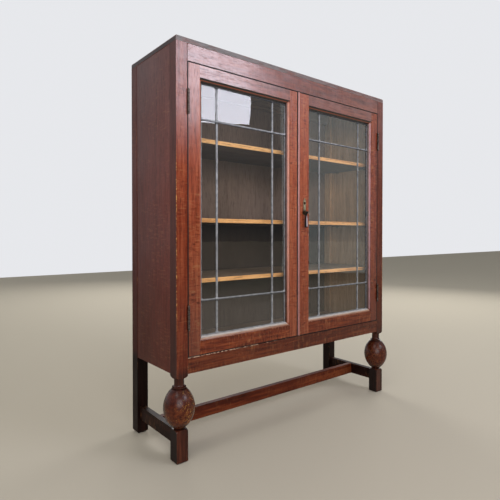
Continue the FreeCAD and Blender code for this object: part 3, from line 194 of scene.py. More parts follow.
BACK_TONE = stops(0.5, (0.270, 0.215, 0.170), (0.325, 0.268, 0.214), (0.375, 0.312, 0.252))
LIT_SHELF_EDGE = stops(0.5, (0.470, 0.170, 0.045), (0.840, 0.425, 0.155), (0.940, 0.570, 0.250))
BARE_PLY = stops(0.5, (0.230, 0.125, 0.058), (0.345, 0.205, 0.105), (0.440, 0.280, 0.155))
BULB_MOTTLE = (
    (0.30, (0.024, 0.005, 0.004)), (0.50, (0.104, 0.017, 0.009)), (0.72, (0.255, 0.053, 0.017)),
)
SILL_HIGHLIGHT_TONES = (
    (0.1, (0.200, 0.060, 0.028)), (0.45, (0.420, 0.250, 0.160)), (0.75, (0.540, 0.520, 0.490)),
)
UNDER_MOULDING_SHADE = (
    (0.0, (0.008, 0.003, 0.003)), (0.34, (0.008, 0.003, 0.003)), (0.46, (0.290, 0.056, 0.020)),
    (0.62, (0.008, 0.003, 0.003)), (1.0, (0.010, 0.004, 0.003)),
)
BULB_GOLD = (0.560, 0.270, 0.060)
BULB_WARM = (0.330, 0.090, 0.022)
PLY_STAIN = (0.150, 0.078, 0.038)
WORN_OAK = (0.420, 0.190, 0.075)
MOULDING_HIGHLIGHT = (0.640, 0.270, 0.190)
FAR_MOULDING_HIGHLIGHT = (0.520, 0.300, 0.330)
BEAD_HIGHLIGHT = (0.440, 0.220, 0.215)
SHADE_AND_GRIME = (0.006, 0.003, 0.003)
PORE = (0.012, 0.005, 0.004)
SHEEN_AND_BLOOM = (0.560, 0.500, 0.560)
SIDE_SHEEN_AND_BLOOM = (0.150, 0.124, 0.132)
TOP_EDGE = (0.190, 0.192, 0.200)
TOP_SIDE_SHADE = (0.036, 0.035, 0.039)
CHIP = (0.800, 0.430, 0.120)
BARE = (0.480, 0.330, 0.230)


# Dirt and painted shadow in the gaps round the doors, and chips

DOOR_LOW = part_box("left_door_bottom_rail")[0].z
DOOR_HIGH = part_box("left_door_top_rail")[1].z
POST_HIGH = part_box("front_post_left")[1].z
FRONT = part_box("frieze_rail")[0].y
HALF_GAP = 0.0007
GAP_LEVELS = (
    (DOOR_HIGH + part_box("frieze_rail")[0].z) / 2,
    (DOOR_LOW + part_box("apron_rail")[1].z) / 2,
)
GAP_UPRIGHTS = (
    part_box("left_door_hinge_stile")[0].x - HALF_GAP,
    (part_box("left_door_meeting_stile")[1].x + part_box("right_door_meeting_bead")[0].x) / 2,
    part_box("right_door_hinge_stile")[1].x + HALF_GAP,
)
GAP_REACH = (0.0026, 0.0012)
GAP_HEIGHTS = ((DOOR_LOW - 0.003, DOOR_LOW - 0.002), (POST_HIGH, POST_HIGH - 0.001))
GAP_DEPTH = (FRONT + 0.0050, FRONT + 0.0025)


def gap_shadow_lines(shader, ways):
    """Black dirt and painted shadow along the edges of the gaps round the doors, as one mask."""
    lines = []
    for name, places in (("Z", GAP_LEVELS), ("X", GAP_UPRIGHTS)):
        for place in places if name in ways else ():
            away = shader.math("ABSOLUTE", shader.math("SUBTRACT", shader.axis(name), place))
            lines.append(shader.span(away, *GAP_REACH))
    beside = shader.band(shader.axis("Z"), *GAP_HEIGHTS)
    front = shader.span(shader.axis("Y"), *GAP_DEPTH)
    return shader.times(shader.math("MAXIMUM", *lines), beside, front)


SILL_EDGE = (0.2782, 0.2796)
SILL_FACE = (-0.1215, -0.1230)
SILL_LEFT = (0.05, -0.30)
SILL_BITS = (0.63, 0.70)
SILL_MORE_LEFT = 0.16


def sill_chips(shader):
    """Bits broken from the apron's upper edge under the left door, as a mask."""
    height = shader.span(shader.axis("Z"), *SILL_EDGE)
    front = shader.span(shader.axis("Y"), *SILL_FACE)
    left = shader.span(shader.axis("X"), *SILL_LEFT)
    bits = shader.noise(shader.stretch((0.35, 1.0, 1.0)), scale=330.0, detail=3.0, roughness=0.6)
    bits = shader.math("ADD", bits, shader.times(left, SILL_MORE_LEFT))
    return shader.times(height, front, shader.span(bits, *SILL_BITS), left)


ARRIS_ACROSS = (0.4552, 0.4568)
ARRIS_FRONT = (-0.1222, -0.1238)
ARRIS_HEIGHTS = ((0.32, 0.42), (0.86, 0.76))
ARRIS_BITS = (0.57, 0.60)


def arris_chips(shader, colour):
    """Small chips down to bare wood along the outer front arris of a post, halfway up."""
    across = shader.span(shader.math("ABSOLUTE", shader.axis("X")), *ARRIS_ACROSS)
    front = shader.span(shader.axis("Y"), *ARRIS_FRONT)
    tall = shader.band(shader.axis("Z"), *ARRIS_HEIGHTS)
    bits = shader.noise(shader.stretch((1.0, 1.0, 0.4)), scale=420.0, detail=2.0)
    return shader.lay(colour, CHIP, across, front, shader.span(bits, *ARRIS_BITS), tall)


# Wood

GRAIN_SCALES = {"x": (0.06, 1.0, 1.0), "y": (1.0, 0.06, 1.0), "z": (1.0, 1.0, 0.06)}
FLECK_SCALES = {"x": (1.0, 0.22, 0.22), "y": (0.22, 1.0, 0.22), "z": (0.22, 0.22, 1.0)}
GRAIN_SHIFT = (7.0, 5.0, 9.0)
PORE_SPAN = (0.56, 0.68)
PATCH_SPAN = (0.38, 0.58)
FLECK_SPAN = (0.55, 0.68)
DASH_SPAN = (0.45, 0.33)
STREAK_SHARE = 0.62
BROAD_SHARE = 0.38


def grain_layers(shader, axis):
    """Masks of the streaks along the grain, the pores, and the flecks and dashes of quarter-sawn oak."""
    luck = shader.node("ShaderNodeObjectInfo").outputs["Random"]
    shift = shader.node("ShaderNodeCombineXYZ", {"X": luck, "Y": luck, "Z": luck}).outputs["Vector"]
    shift = shader.vector("MULTIPLY", shift, GRAIN_SHIFT)["Vector"]
    moved = shader.vector("ADD", shader.place, shift)["Vector"]
    along = shader.stretch(GRAIN_SCALES[axis], source=moved)
    streak = shader.noise(along, scale=150.0, detail=5.0, roughness=0.62, distortion=0.3)
    broad = shader.noise(along, scale=34.0, detail=2.0, roughness=0.5, distortion=0.5)
    pores = shader.noise(along, scale=640.0, detail=2.0, roughness=0.5)
    across = shader.stretch(FLECK_SCALES[axis], source=moved)
    rays = shader.noise(across, scale=190.0, detail=3.0, roughness=0.55, distortion=0.4)
    patch = shader.span(shader.noise(moved, scale=9.0, detail=2.0), *PATCH_SPAN)
    return {
        "tone": shader.math("ADD", shader.times(streak, STREAK_SHARE), shader.times(broad, BROAD_SHARE)),
        "pores": shader.span(pores, *PORE_SPAN),
        "fleck": shader.times(shader.span(rays, *FLECK_SPAN), patch),
        "dash": shader.times(shader.span(rays, *DASH_SPAN), patch),
    }


TONE_SPAN = (0.32, 0.68)
PALE_SHARE = 0.5
LOW_SHADE_SPAN = (0.28, 0.80)
PORE_SHARE = 0.55
RUB_REACH = 0.0035
RUB_SPAN = (0.55, 0.66)
SHADE_REACH = 0.007
SHADE_SHARE = 0.85
HAZE_SPAN = (0.3, 0.7)
HAZE_CLEAR = -0.05
HAZE_DULL = 0.07
WORN_ROUGHNESS = 0.3
DULL_ROUGHNESS = 0.35
STREAK_RELIEF = 0.35
GRAIN_BUMP = (0.22, 0.0004)


def wood(name, axis, stain, roughness=0.25, wear=0.6, fleck=0.55, gloss=0.5, low_shade=1.0, gaps="", paint=None,
         dull=None, chips=None):
    """Stained oak along one axis, with its wear, dirt and polish, and painted shade.

    Paint may change the colour by place before the wear is laid over it: it takes the shader, the colour and
    the tone of the grain. A share of the tone is left low down, as painted shade that darkens the piece
    towards the bottom, and gaps names the axes of the lines of dirt and painted shadow along the gaps round
    the doors. Hollows and joints darken with dirt and painted shade. Dull gives the mask of faces that have
    lost their polish, and chips the mask of bits broken down to bare wood.
    """
    shader = Shader(name)
    grain = grain_layers(shader, axis)
    tone = shader.span(grain["tone"], *TONE_SPAN)
    colour = shader.ramp(tone, stain)
    pale = shader.mix(PALE_SHARE, colour, WORN_OAK)
    colour = shader.lay(colour, pale, grain["fleck"], fleck)
    darkest = stain[0][1]
    colour = shader.lay(colour, darkest, grain["dash"], fleck)
    if paint:
        colour = paint(shader, colour, tone)
    # Painted shade: darker towards the bottom.
    colour = shader.tint(colour, shader.span(shader.axis("Z"), *LOW_SHADE_SPAN, low_shade, 1.0))
    colour = shader.lay(colour, PORE, grain["pores"], PORE_SHARE)
    rub_and_highlight = shader.noise(scale=38.0, detail=6.0, roughness=0.7)
    worn = shader.times(shader.edges(RUB_REACH), shader.span(rub_and_highlight, *RUB_SPAN), wear)
    colour = shader.lay(colour, WORN_OAK, worn)
    # Painted shade and dirt in hollows and joints, and along the gaps round the doors.
    shade_and_dirt = shader.times(shader.hollow(SHADE_REACH), SHADE_SHARE)
    if gaps:
        shade_and_dirt = shader.math("MAXIMUM", shade_and_dirt, gap_shadow_lines(shader, gaps))
    colour = shader.lay(colour, SHADE_AND_GRIME, shade_and_dirt)
    if chips:
        colour = shader.lay(colour, BARE, chips(shader))
    haze = shader.noise(scale=9.0, detail=4.0)
    rough = shader.span(haze, *HAZE_SPAN, roughness + HAZE_CLEAR, roughness + HAZE_DULL)
    rough = shader.math("ADD", rough, shader.times(shader.math("MAXIMUM", worn, shade_and_dirt), WORN_ROUGHNESS))
    if dull:
        rough = shader.math("ADD", rough, shader.times(dull(shader), DULL_ROUGHNESS))
    height = shader.math("SUBTRACT", shader.times(grain["tone"], STREAK_RELIEF), grain["pores"])
    return shader.surface(
        Base_Color=colour, Roughness=rough, Normal=shader.bump(height, *GRAIN_BUMP),
        Specular_IOR_Level=gloss,
    )


# Paints by place, for single kinds of pieces

SIDEWAYS = (0.75, 0.95)
FORWARD = (-0.6, -0.9)
INNER_HALF = (0.4400, 0.4395)
LEG_HEAD = (0.262, 0.236)
SIDE_SHEEN_CLIMB = (0.70, 1.12)
POST_SIDE_SHEEN = 0.22
REAR_POST_SHEEN = 0.25
PANEL_SHEEN = 0.40


def looks_sideways(shader):
    """Mask of the faces that look left or right."""
    return shader.span(shader.math("ABSOLUTE", shader.axis("X", shader.normal)), *SIDEWAYS)


def inner_half(shader):
    """Mask of what lies on the inner side of the side panels' middle."""
    return shader.span(shader.math("ABSOLUTE", shader.axis("X")), *INNER_HALF)


def side_sheen_and_bloom(shader, colour, strength):
    """High up on the sides: a painted grey sheen that stands in for reflected light, and a grey bloom in the
    polish.
    """
    return shader.lay(colour, SIDE_SHEEN_AND_BLOOM, shader.span(shader.axis("Z"), *SIDE_SHEEN_CLIMB, 0.0, strength))


def shaded_side_faces(shader, colour, tone):
    """Painted shade: faces that look left or right carry the darker stain of the sides, with the side's
    painted sheen.
    """
    stain = side_sheen_and_bloom(shader, shader.ramp(tone, POST_SIDE_STAIN), POST_SIDE_SHEEN)
    return shader.lay(colour, stain, looks_sideways(shader))


SHEEN_CLIMB = (0.80, 1.10)
SHEEN_ACROSS = (0.32, -0.36)
FULLY_FORWARD = (-0.80, -0.95)
CLOUD = (0.35, 0.65, 0.3, 0.8)
SCRATCHES = (0.56, 0.66, 0.0, 0.12)


def sheen_and_bloom(shader, colour, strength=0.24, right_share=0.0):
    """At the upper left of the front: a painted sheen that stands in for reflected light, with a pale,
    cloudy bloom and fine scratches in the polish.
    """
    climb = shader.span(shader.axis("Z"), *SHEEN_CLIMB)
    left = shader.span(shader.axis("X"), *SHEEN_ACROSS, right_share, 1.0)
    front = shader.span(shader.axis("Y", shader.normal), *FULLY_FORWARD)
    cloud = shader.noise(scale=22.0, detail=6.0, roughness=0.65)
    scratch = shader.noise(shader.stretch((1.0, 1.0, 0.12)), scale=260.0, detail=2.0)
    cloud = shader.math("ADD", shader.span(cloud, *CLOUD), shader.span(scratch, *SCRATCHES))
    return shader.lay(colour, SHEEN_AND_BLOOM, climb, left, front, cloud, strength)


STILE_MOULDINGS = ((0.0430, 0.0532), (0.3840, 0.3738))
LIGHT_HEIGHTS = ((0.326, 0.334), (1.039, 1.031))
FAR_STILE = (0.2, 0.3)
HIGHLIGHT_BAND = ((0.02, 0.10), (0.62, 0.50))
GLASS_SHADOW_BAND = ((0.62, 0.72), (1.05, 1.0))
HIGHLIGHT_SHARE = 0.75
GLASS_SHADOW_SHARE = 0.8


def across_moulding(stile, glass, band):
    """The ends of a band across a moulding, given as shares of the way from the stile to the glass."""
    return [[stile + (glass - stile) * share for share in end] for end in band]


def stile_moulding(shader, colour, tone):
    """The mouldings beside the glass carry a painted highlight next to the stile and a painted black shadow
    next to the glass.
    """
    across = shader.math("ABSOLUTE", shader.axis("X"))
    tall = shader.band(shader.axis("Z"), *LIGHT_HEIGHTS)
    # Painted sheen and bloom at the upper left.
    colour = sheen_and_bloom(shader, colour)
    rub_and_highlight = shader.mix(shader.span(shader.axis("X"), *FAR_STILE), MOULDING_HIGHLIGHT, FAR_MOULDING_HIGHLIGHT)
    for stile, glass_edge in STILE_MOULDINGS:
        highlit = shader.band(across, *across_moulding(stile, glass_edge, HIGHLIGHT_BAND))
        colour = shader.lay(colour, rub_and_highlight, highlit, tall, HIGHLIGHT_SHARE)
        black_shade = shader.band(across, *across_moulding(stile, glass_edge, GLASS_SHADOW_BAND))
        colour = shader.lay(colour, SHADE_AND_GRIME, black_shade, tall, GLASS_SHADOW_SHARE)
    return colour


BEAD_CREST = ((-0.0086, -0.0074), (-0.0010, -0.0034))
BEAD_SHARE = 0.7


def bead_painted_highlight(shader, colour, tone):
    """The bead between the doors carries a painted pale highlight along its left side."""
    return shader.lay(colour, BEAD_HIGHLIGHT, shader.band(shader.axis("X"), *BEAD_CREST), BEAD_SHARE)


RAIL_ACROSS = (-0.20, 0.15)
RAIL_SHADES = (1.0, 0.76)
RAIL_SHEEN = (0.28, 0.4)


def rail_sheen(shader, colour, tone):
    """The rails are darker to the right. The painted sheen and bloom is strong on them and reaches their
    right end too.
    """
    darker = shader.span(shader.axis("X"), *RAIL_ACROSS, *RAIL_SHADES)
    return sheen_and_bloom(shader, shader.tint(colour, darker), *RAIL_SHEEN)


OVER_GLASS = (1.0315, 1.0425)
OVER_GLASS_END = (1.0430, 1.0415)


def shaded_under_moulding(shader, colour, tone):
    """The moulding over the glass carries painted shade: black, with one red line along it."""
    height = shader.axis("Z")
    dark = shader.ramp(shader.span(height, *OVER_GLASS), UNDER_MOULDING_SHADE)
    return shader.lay(rail_sheen(shader, colour, tone), dark, shader.span(height, *OVER_GLASS_END))


SILL_RISE = (0.3205, 0.3315)
SILL_HEIGHTS = ((0.3195, 0.3215), (0.336, 0.333))
SILL_SHARE = 0.85


def sill_highlight(shader, colour, tone):
    """The moulding under the glass carries a painted highlight: pale in the middle and silvery grey next to
    the glass.
    """
    laid_tone = shader.ramp(shader.span(shader.axis("Z"), *SILL_RISE), SILL_HIGHLIGHT_TONES)
    return shader.lay(colour, laid_tone, shader.band(shader.axis("Z"), *SILL_HEIGHTS), SILL_SHARE)


INWARD = (-0.25, -0.35)
CASE_FOOT = (0.262, 0.270)


def rear_post_faces(shader, colour, tone):
    """A rear post is light brown on the faces inside the case, and almost black below it."""
    height = shader.axis("Z")
    inward = shader.span(shader.times(shader.axis("X"), shader.axis("X", shader.normal)), *INWARD)
    inside = shader.math("MAXIMUM", inward, shader.span(shader.axis("Y", shader.normal), *FORWARD))
    inside = shader.times(inside, shader.span(height, *CASE_FOOT), inner_half(shader))
    # Painted sheen and grey bloom high up on the post's sides.
    colour = side_sheen_and_bloom(shader, colour, REAR_POST_SHEEN)
    colour = shader.lay(colour, shader.ramp(tone, SIDE_INNER_TONE), inside)
    return shader.lay(colour, shader.ramp(tone, BLACK_STAIN), shader.span(height, *LEG_HEAD))


POST_ACROSS = (-0.2, 0.4)
POST_SHADES = (1.0, 0.62)
FOOT_BLOCK = (0.098, 0.090)
BULB_HEIGHTS = ((0.092, 0.104), (0.208, 0.196))
BULB_ACROSS = 0.440
BULB_LEFT = (0.1, -0.1, 0.25, 0.9)
BULB_DULL = 0.12
MOTTLE_SHARE = 0.85
WARM_HEIGHTS = (0.170, 0.120)
WARM_MOTTLE = (0.36, 0.62)
WARM_SHARE = 0.6
SPECK_SPAN = (0.56, 0.60)
SPECK_PATCH = (0.45, 0.60)
SPECK_INWARD = 3.0
SPECK_LOW = (0.180, 0.115, -0.04, 0.06)
UPPER_COLLAR = (0.188, 0.204)
LOWER_COLLAR = (0.112, 0.098)
COLLAR_SHARE = 0.8
POST_SHEEN = (0.42, 0.3)


def bulb_band(shader):
    """Mask of the bulbs of the front legs."""
    return shader.band(shader.axis("Z"), *BULB_HEIGHTS)


def leg_stain_and_shade(shader, colour, tone):
    """A front post is darker to the right and below, with painted shade on its sides. Its foot is painted
    black at the sides, as shade.
    """
    height = shader.axis("Z")
    right = shader.span(shader.axis("X"), *POST_ACROSS, *POST_SHADES)
    colour = shaded_side_faces(shader, shader.tint(colour, right), tone)
    colour = shader.lay(colour, shader.ramp(tone, LEG_STAIN), shader.span(height, *LEG_HEAD))
    black_shade = shader.ramp(tone, BLACK_STAIN)
    return shader.lay(colour, black_shade, shader.span(height, *FOOT_BLOCK), looks_sideways(shader))


def gold_specks(shader):
    """Specks of bare gold, in patches that are larger low down and towards the middle, as a mask."""
    specks = shader.noise(shader.stretch((1.0, 1.0, 0.7)), scale=340.0, detail=3.0, roughness=0.6)
    patch = shader.noise(scale=30.0, detail=3.0)
    inward = shader.math("SUBTRACT", BULB_ACROSS, shader.math("ABSOLUTE", shader.axis("X")))
    low = shader.span(shader.axis("Z"), *SPECK_LOW)
    patch = shader.math("ADD", patch, shader.times(inward, SPECK_INWARD), low)
    return shader.times(shader.span(specks, *SPECK_SPAN), shader.span(patch, *SPECK_PATCH))


def bulb_wear(shader, colour, tone):
    """On the bulbs the polish is mottled and rubbed to gold, mostly on the left one; dirt and painted shade
    darken the collars.
    """
    colour = leg_stain_and_shade(shader, colour, tone)
    height = shader.axis("Z")
    bulb = bulb_band(shader)
    mottle = shader.noise(scale=95.0, detail=5.0, roughness=0.72)
    colour = shader.lay(colour, shader.ramp(mottle, BULB_MOTTLE), bulb, MOTTLE_SHARE)
    left = shader.times(bulb, shader.span(shader.axis("X"), *BULB_LEFT))
    warm = shader.times(shader.span(height, *WARM_HEIGHTS), shader.span(mottle, *WARM_MOTTLE))
    colour = shader.lay(colour, BULB_WARM, warm, left, WARM_SHARE)
    colour = shader.lay(colour, BULB_GOLD, gold_specks(shader), left)
    collar_shade = shader.math("MAXIMUM", shader.span(height, *UPPER_COLLAR), shader.span(height, *LOWER_COLLAR))
    colour = shader.lay(colour, SHADE_AND_GRIME, collar_shade, bulb, COLLAR_SHARE)
    # Painted sheen and bloom at the upper left of the post.
    return arris_chips(shader, sheen_and_bloom(shader, colour, *POST_SHEEN))


def post_polish(shader):
    """Mask of the dull faces of a front post: its sides have lost their polish, and its bulb a little."""
    bulb = bulb_band(shader)
    plain_sides = shader.times(looks_sideways(shader), shader.math("SUBTRACT", 1.0, bulb))
    return shader.math("ADD", plain_sides, shader.times(bulb, BULB_DULL))


EDGE_LEFT = (0.30, -0.35, 0.62, 0.92)
EDGE_FRONT = (-0.2, -0.8)
EDGE_BLOTCH = (0.15, 0.5)
EDGE_SIDE_SHARE = 0.9


def grey_edge(shader, colour, tone):
    """The top's edge is pale grey along the front towards the left, and dark with painted shade along the
    sides.
    """
    left = shader.span(shader.axis("X"), *EDGE_LEFT)
    facing = shader.span(shader.axis("Y", shader.normal), *EDGE_FRONT)
    blotch = shader.noise(shader.stretch((1.0, 4.0, 4.0)), scale=16.0, detail=4.0)
    colour = shader.lay(colour, TOP_EDGE, left, facing, shader.span(blotch, *EDGE_BLOTCH))
    return shader.lay(colour, TOP_SIDE_SHADE, looks_sideways(shader), EDGE_SIDE_SHARE)


BACK_SHADOWS = (
    (0.24, 0.26), (0.37, 0.26), (0.46, 0.03), (0.50, 0.16), (0.58, 0.20), (0.645, 0.06), (0.665, 0.70),
    (0.80, 0.75), (0.87, 0.40), (0.892, 0.80),
)
BACK_TINT = (1.0, 0.84, 0.80)
BACK_INSIDE = (0.0, -0.5)
PLY_STAINING = (0.35, 0.70, 0.0, 0.65)


def back_bay_shadows(shader, colour, tone):
    """Inside, the back carries painted shade: light in the upper bays and dark under the shelves. Outside it
    is bare.
    """
    shades = [(height, [share * part for part in BACK_TINT]) for height, share in BACK_SHADOWS]
    bay_shade = shader.tint(colour, shader.ramp(shader.axis("Z"), shades))
    stain = shader.noise(shader.stretch((1.0, 1.0, 0.45)), scale=4.5, detail=5.0, roughness=0.6)
    laid_tone = shader.lay(shader.ramp(tone, BARE_PLY), PLY_STAIN, shader.span(stain, *PLY_STAINING))
    return shader.lay(laid_tone, bay_shade, shader.span(shader.axis("Y", shader.normal), *BACK_INSIDE))


PANEL_FADING = (0.10, -0.08, 0.8, 1.25)


def side_inner(shader, colour, tone):
    """A side panel is stained dark outside, fading to the front, and stays light brown inside the case."""
    colour = shader.tint(colour, shader.span(shader.axis("Y"), *PANEL_FADING))
    # Painted sheen and grey bloom high up on the panel.
    colour = side_sheen_and_bloom(shader, colour, PANEL_SHEEN)
    return shader.lay(colour, shader.ramp(tone, SIDE_INNER_TONE), inner_half(shader))


SHELF_UNDER_SHADE = (-0.6, -0.9, 1.0, 0.3)


def shelf_light_and_shade(shader, colour, tone):
    """A shelf's front edge carries painted light in golden oak, its upper face is brown and its underside
    carries painted shade.
    """
    colour = shader.tint(colour, shader.span(shader.axis("Z", shader.normal), *SHELF_UNDER_SHADE))
    facing = shader.span(shader.axis("Y", shader.normal), *FORWARD)
    return shader.lay(colour, shader.ramp(tone, LIT_SHELF_EDGE), facing)


# Metals and glass

BRASS_BRIGHT, BRASS_DULL = (0.420, 0.330, 0.170), (0.130, 0.105, 0.060)
BRONZE_BRIGHT, BRONZE_DULL = (0.150, 0.125, 0.110), (0.030, 0.024, 0.020)
PLATE_BRIGHT, PLATE_DULL = (0.520, 0.470, 0.320), (0.280, 0.260, 0.170)
STEEL_BRIGHT, STEEL_DULL = (0.340, 0.330, 0.310), (0.130, 0.115, 0.100)

LEAD_TONES = ((0.3, (0.170, 0.175, 0.185)), (0.7, (0.400, 0.408, 0.425)))
LEAD_DARK = (0.030, 0.030, 0.034)
LEAD_ROUGHNESS = (0.3, 0.7, 0.60, 0.46)
LEAD_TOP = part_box("left_door_cames")[1].z
LEAD_BORDER = (LEAD_TOP - 0.017, LEAD_TOP - 0.015)
BORDER_SHARE = 0.85
CAME_ROWS = (0.430, 0.933)
CAME_UNDER_SHADE = ((-0.0002, 0.0008), (0.0060, 0.0045))
CAME_SHARE = 0.75


def lead():
    """Grey lead, with painted shade along the lower half of the level cames, and darkened along the upper
    border.
    """
    shader = Shader("lead_came")
    tarnish = shader.noise(scale=70.0, detail=4.0, roughness=0.6)
    colour = shader.ramp(tarnish, LEAD_TONES)
    for row in CAME_ROWS:
        below = shader.math("SUBTRACT", row, shader.axis("Z"))
        colour = shader.lay(colour, LEAD_DARK, shader.band(below, *CAME_UNDER_SHADE), CAME_SHARE)
    colour = shader.lay(colour, LEAD_DARK, shader.span(shader.axis("Z"), *LEAD_BORDER), BORDER_SHARE)
    dents = shader.noise(scale=240.0, detail=2.0)
    return shader.surface(
        Base_Color=colour, Metallic=0.6, Roughness=shader.span(tarnish, *LEAD_ROUGHNESS),
        Normal=shader.bump(dents, strength=0.25, distance=0.0006),
    )


METAL_REACH = 0.0009
METAL_RUB = 0.6
METAL_TARNISH = (0.38, 0.62)
TARNISH_ROUGHNESS = 0.2


def brass(name, bright, dull, roughness, paint=None):
    """Old metal, tarnished in patches and rubbed along its edges."""
    shader = Shader(name)
    tarnish = shader.span(shader.noise(scale=130.0, detail=5.0, roughness=0.65), *METAL_TARNISH)
    colour = shader.mix(tarnish, bright, dull)
    colour = shader.lay(colour, bright, shader.edges(METAL_REACH), METAL_RUB)
    if paint:
        colour = paint(shader, colour)
    pits = shader.noise(scale=900.0, detail=2.0)
    return shader.surface(
        Base_Color=colour, Metallic=1.0,
        Roughness=shader.span(tarnish, 0.0, 1.0, roughness, roughness + TARNISH_ROUGHNESS),
        Normal=shader.bump(pits, strength=0.12, distance=0.0002),
    )


KEYHOLE = (0.023, 0.717)
KEY_REACH = (0.0054, 0.0038)
UNDER_EYE_SHADOW = (0.700, 0.692)
UNDER_EYE_SHARE = 0.8
KEY_SHADOW = (0.010, 0.009, 0.008)


def keyhole_shadow(shader, colour):
    """Painted black shadow round the keyhole, where the hole goes dark, and under the pull's eye."""
    aside = shader.math("SUBTRACT", shader.axis("X"), KEYHOLE[0])
    above = shader.math("SUBTRACT", shader.axis("Z"), KEYHOLE[1])
    squares = shader.math("ADD", shader.times(aside, aside), shader.times(above, above))
    near = shader.span(shader.math("SQRT", squares), *KEY_REACH)
    low = shader.times(shader.span(shader.axis("Z"), *UNDER_EYE_SHADOW), UNDER_EYE_SHARE)
    return shader.lay(colour, KEY_SHADOW, shader.math("MAXIMUM", near, low))


PULL_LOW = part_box("drop_handle")[0].z
PULL_BLACK = (0.006, 0.005, 0.005)
PULL_BRIGHT = (0.560, 0.500, 0.560)
PULL_FLAT = (0.90, 0.97)
PULL_HEIGHTS = ((0.678, 0.668), (PULL_LOW + 0.002, PULL_LOW + 0.004))
PULL_LEFT = (-0.0024, -0.0012)
PULL_SMEAR = (0.35, 0.65, 0.75, 1.0)
PULL_ROUGHNESS = (0.0, 1.0, 0.35, 0.48)


def pull_metal():
    """The pull's flat faces are bright and grey on their left part; its eye and bevels stay black."""
    shader = Shader("bronze_pull")
    flat = shader.span(shader.math("ABSOLUTE", shader.axis("Y", shader.normal)), *PULL_FLAT)
    tongue = shader.band(shader.axis("Z"), *PULL_HEIGHTS)
    aside = shader.math("SUBTRACT", shader.axis("X"), KEYHOLE[0])
    smear = shader.span(shader.noise(scale=180.0, detail=4.0), *PULL_SMEAR)
    bright = shader.times(flat, tongue, shader.span(aside, *PULL_LEFT), smear)
    pits = shader.noise(scale=900.0, detail=2.0)
    return shader.surface(
        Base_Color=shader.mix(bright, PULL_BLACK, PULL_BRIGHT), Metallic=0.9,
        Roughness=shader.span(bright, *PULL_ROUGHNESS),
        Normal=shader.bump(pits, strength=0.10, distance=0.0002),
    )


def glass():
    """Old drawn glass, slightly wavy. Lamps shine through it into the case."""
    shader = Shader("drawn_glass")
    wave = shader.noise(shader.stretch((1.0, 1.0, 0.5)), scale=14.0, detail=1.0)
    pane = shader.node("ShaderNodeBsdfPrincipled", {
        "Base Color": (0.97, 0.985, 0.98), "Transmission Weight": 1.0, "Roughness": 0.0, "IOR": 1.5,
        "Normal": shader.bump(wave, strength=0.06, distance=0.002),
    })
    clear = shader.node("ShaderNodeBsdfTransparent", {"Color": (0.95, 0.96, 0.955)})
    path = shader.node("ShaderNodeLightPath").outputs
    let_through = shader.math("MAXIMUM", path["Is Shadow Ray"], path["Is Diffuse Ray"])
    both = shader.node("ShaderNodeMixShader", {0: let_through, 1: pane.outputs[0], 2: clear.outputs[0]})
    return shader.finish(both.outputs[0])


# Which material each node has

upright = wood(
    "oak_upright", "z", WARM_STAIN, roughness=0.18, fleck=0.95, gloss=0.54, low_shade=0.42, gaps="XZ",
    paint=stile_moulding,
)
far_upright = wood(
    "oak_far_upright", "z", DEEP_STAIN, fleck=0.95, low_shade=0.50, gaps="XZ", paint=stile_moulding,
)
meeting = wood(
    "oak_meeting", "z", WARM_STAIN, fleck=0.95, gloss=0.4, low_shade=0.61, gaps="XZ", paint=stile_moulding,
)
bead_wood = wood("oak_bead", "z", WARM_STAIN, fleck=0.4, low_shade=0.72, gaps="XZ", paint=bead_painted_highlight)
level = wood("oak_level", "x", DEEP_STAIN, roughness=0.16, gloss=0.68, gaps="Z", paint=rail_sheen)
over_glass = wood(
    "oak_over_glass", "x", DEEP_STAIN, roughness=0.16, gloss=0.75, gaps="XZ", paint=shaded_under_moulding,
)
apron_wood = wood(
    "oak_apron", "x", LOW_STAIN, fleck=0.8, gloss=0.3, low_shade=0.66, gaps="Z", chips=sill_chips,
)
low_level = wood("oak_low_level", "x", LOW_STAIN, fleck=0.8, gloss=0.3, gaps="XZ", paint=sill_highlight)
leg_post = wood(
    "oak_turned_post", "z", DEEP_STAIN, roughness=0.18, wear=0.8, gloss=0.25, low_shade=0.55, gaps="X",
    paint=bulb_wear, dull=post_polish,
)
rear_leg = wood(
    "oak_rear_post", "z", POST_SIDE_STAIN, roughness=0.45, fleck=0.3, gloss=0.1, low_shade=0.5,
    paint=rear_post_faces,
)
side_board = wood(
    "oak_side", "z", SIDE_STAIN, roughness=0.40, wear=0.3, fleck=0.4, gloss=0.14, low_shade=0.68,
    paint=side_inner,
)
top_plank = wood("oak_top", "x", DEEP_STAIN, roughness=0.45, gloss=0.25, paint=grey_edge)
stretcher_side = wood("oak_stretcher_side", "y", BLACK_STAIN, roughness=0.5, gloss=0.1)
stretcher_centre = wood("oak_stretcher_centre", "x", LOW_STAIN, roughness=0.5, gloss=0.12, low_shade=0.72)
inside_level = wood("oak_inside", "x", INNER_TONE, roughness=0.55, wear=0.2, gloss=0.2)
back_ply = wood("ply_back", "z", BACK_TONE, roughness=0.6, wear=0.1, fleck=0.0, gloss=0.2, paint=back_bay_shadows)
shelf_board = wood("oak_shelf", "x", INNER_TONE, roughness=0.5, wear=0.2, gloss=0.2, paint=shelf_light_and_shade)
came_lead = lead()
pane_glass = glass()
aged_brass = brass("brass_aged", BRASS_BRIGHT, BRASS_DULL, roughness=0.34)
hinge_brass = brass("brass_dark", BRONZE_BRIGHT, BRONZE_DULL, roughness=0.38)
plate_brass = brass("brass_plate", PLATE_BRIGHT, PLATE_DULL, roughness=0.42, paint=keyhole_shadow)
pull_bronze = pull_metal()
screw_steel = brass("steel_dull", STEEL_BRIGHT, STEEL_DULL, roughness=0.4)

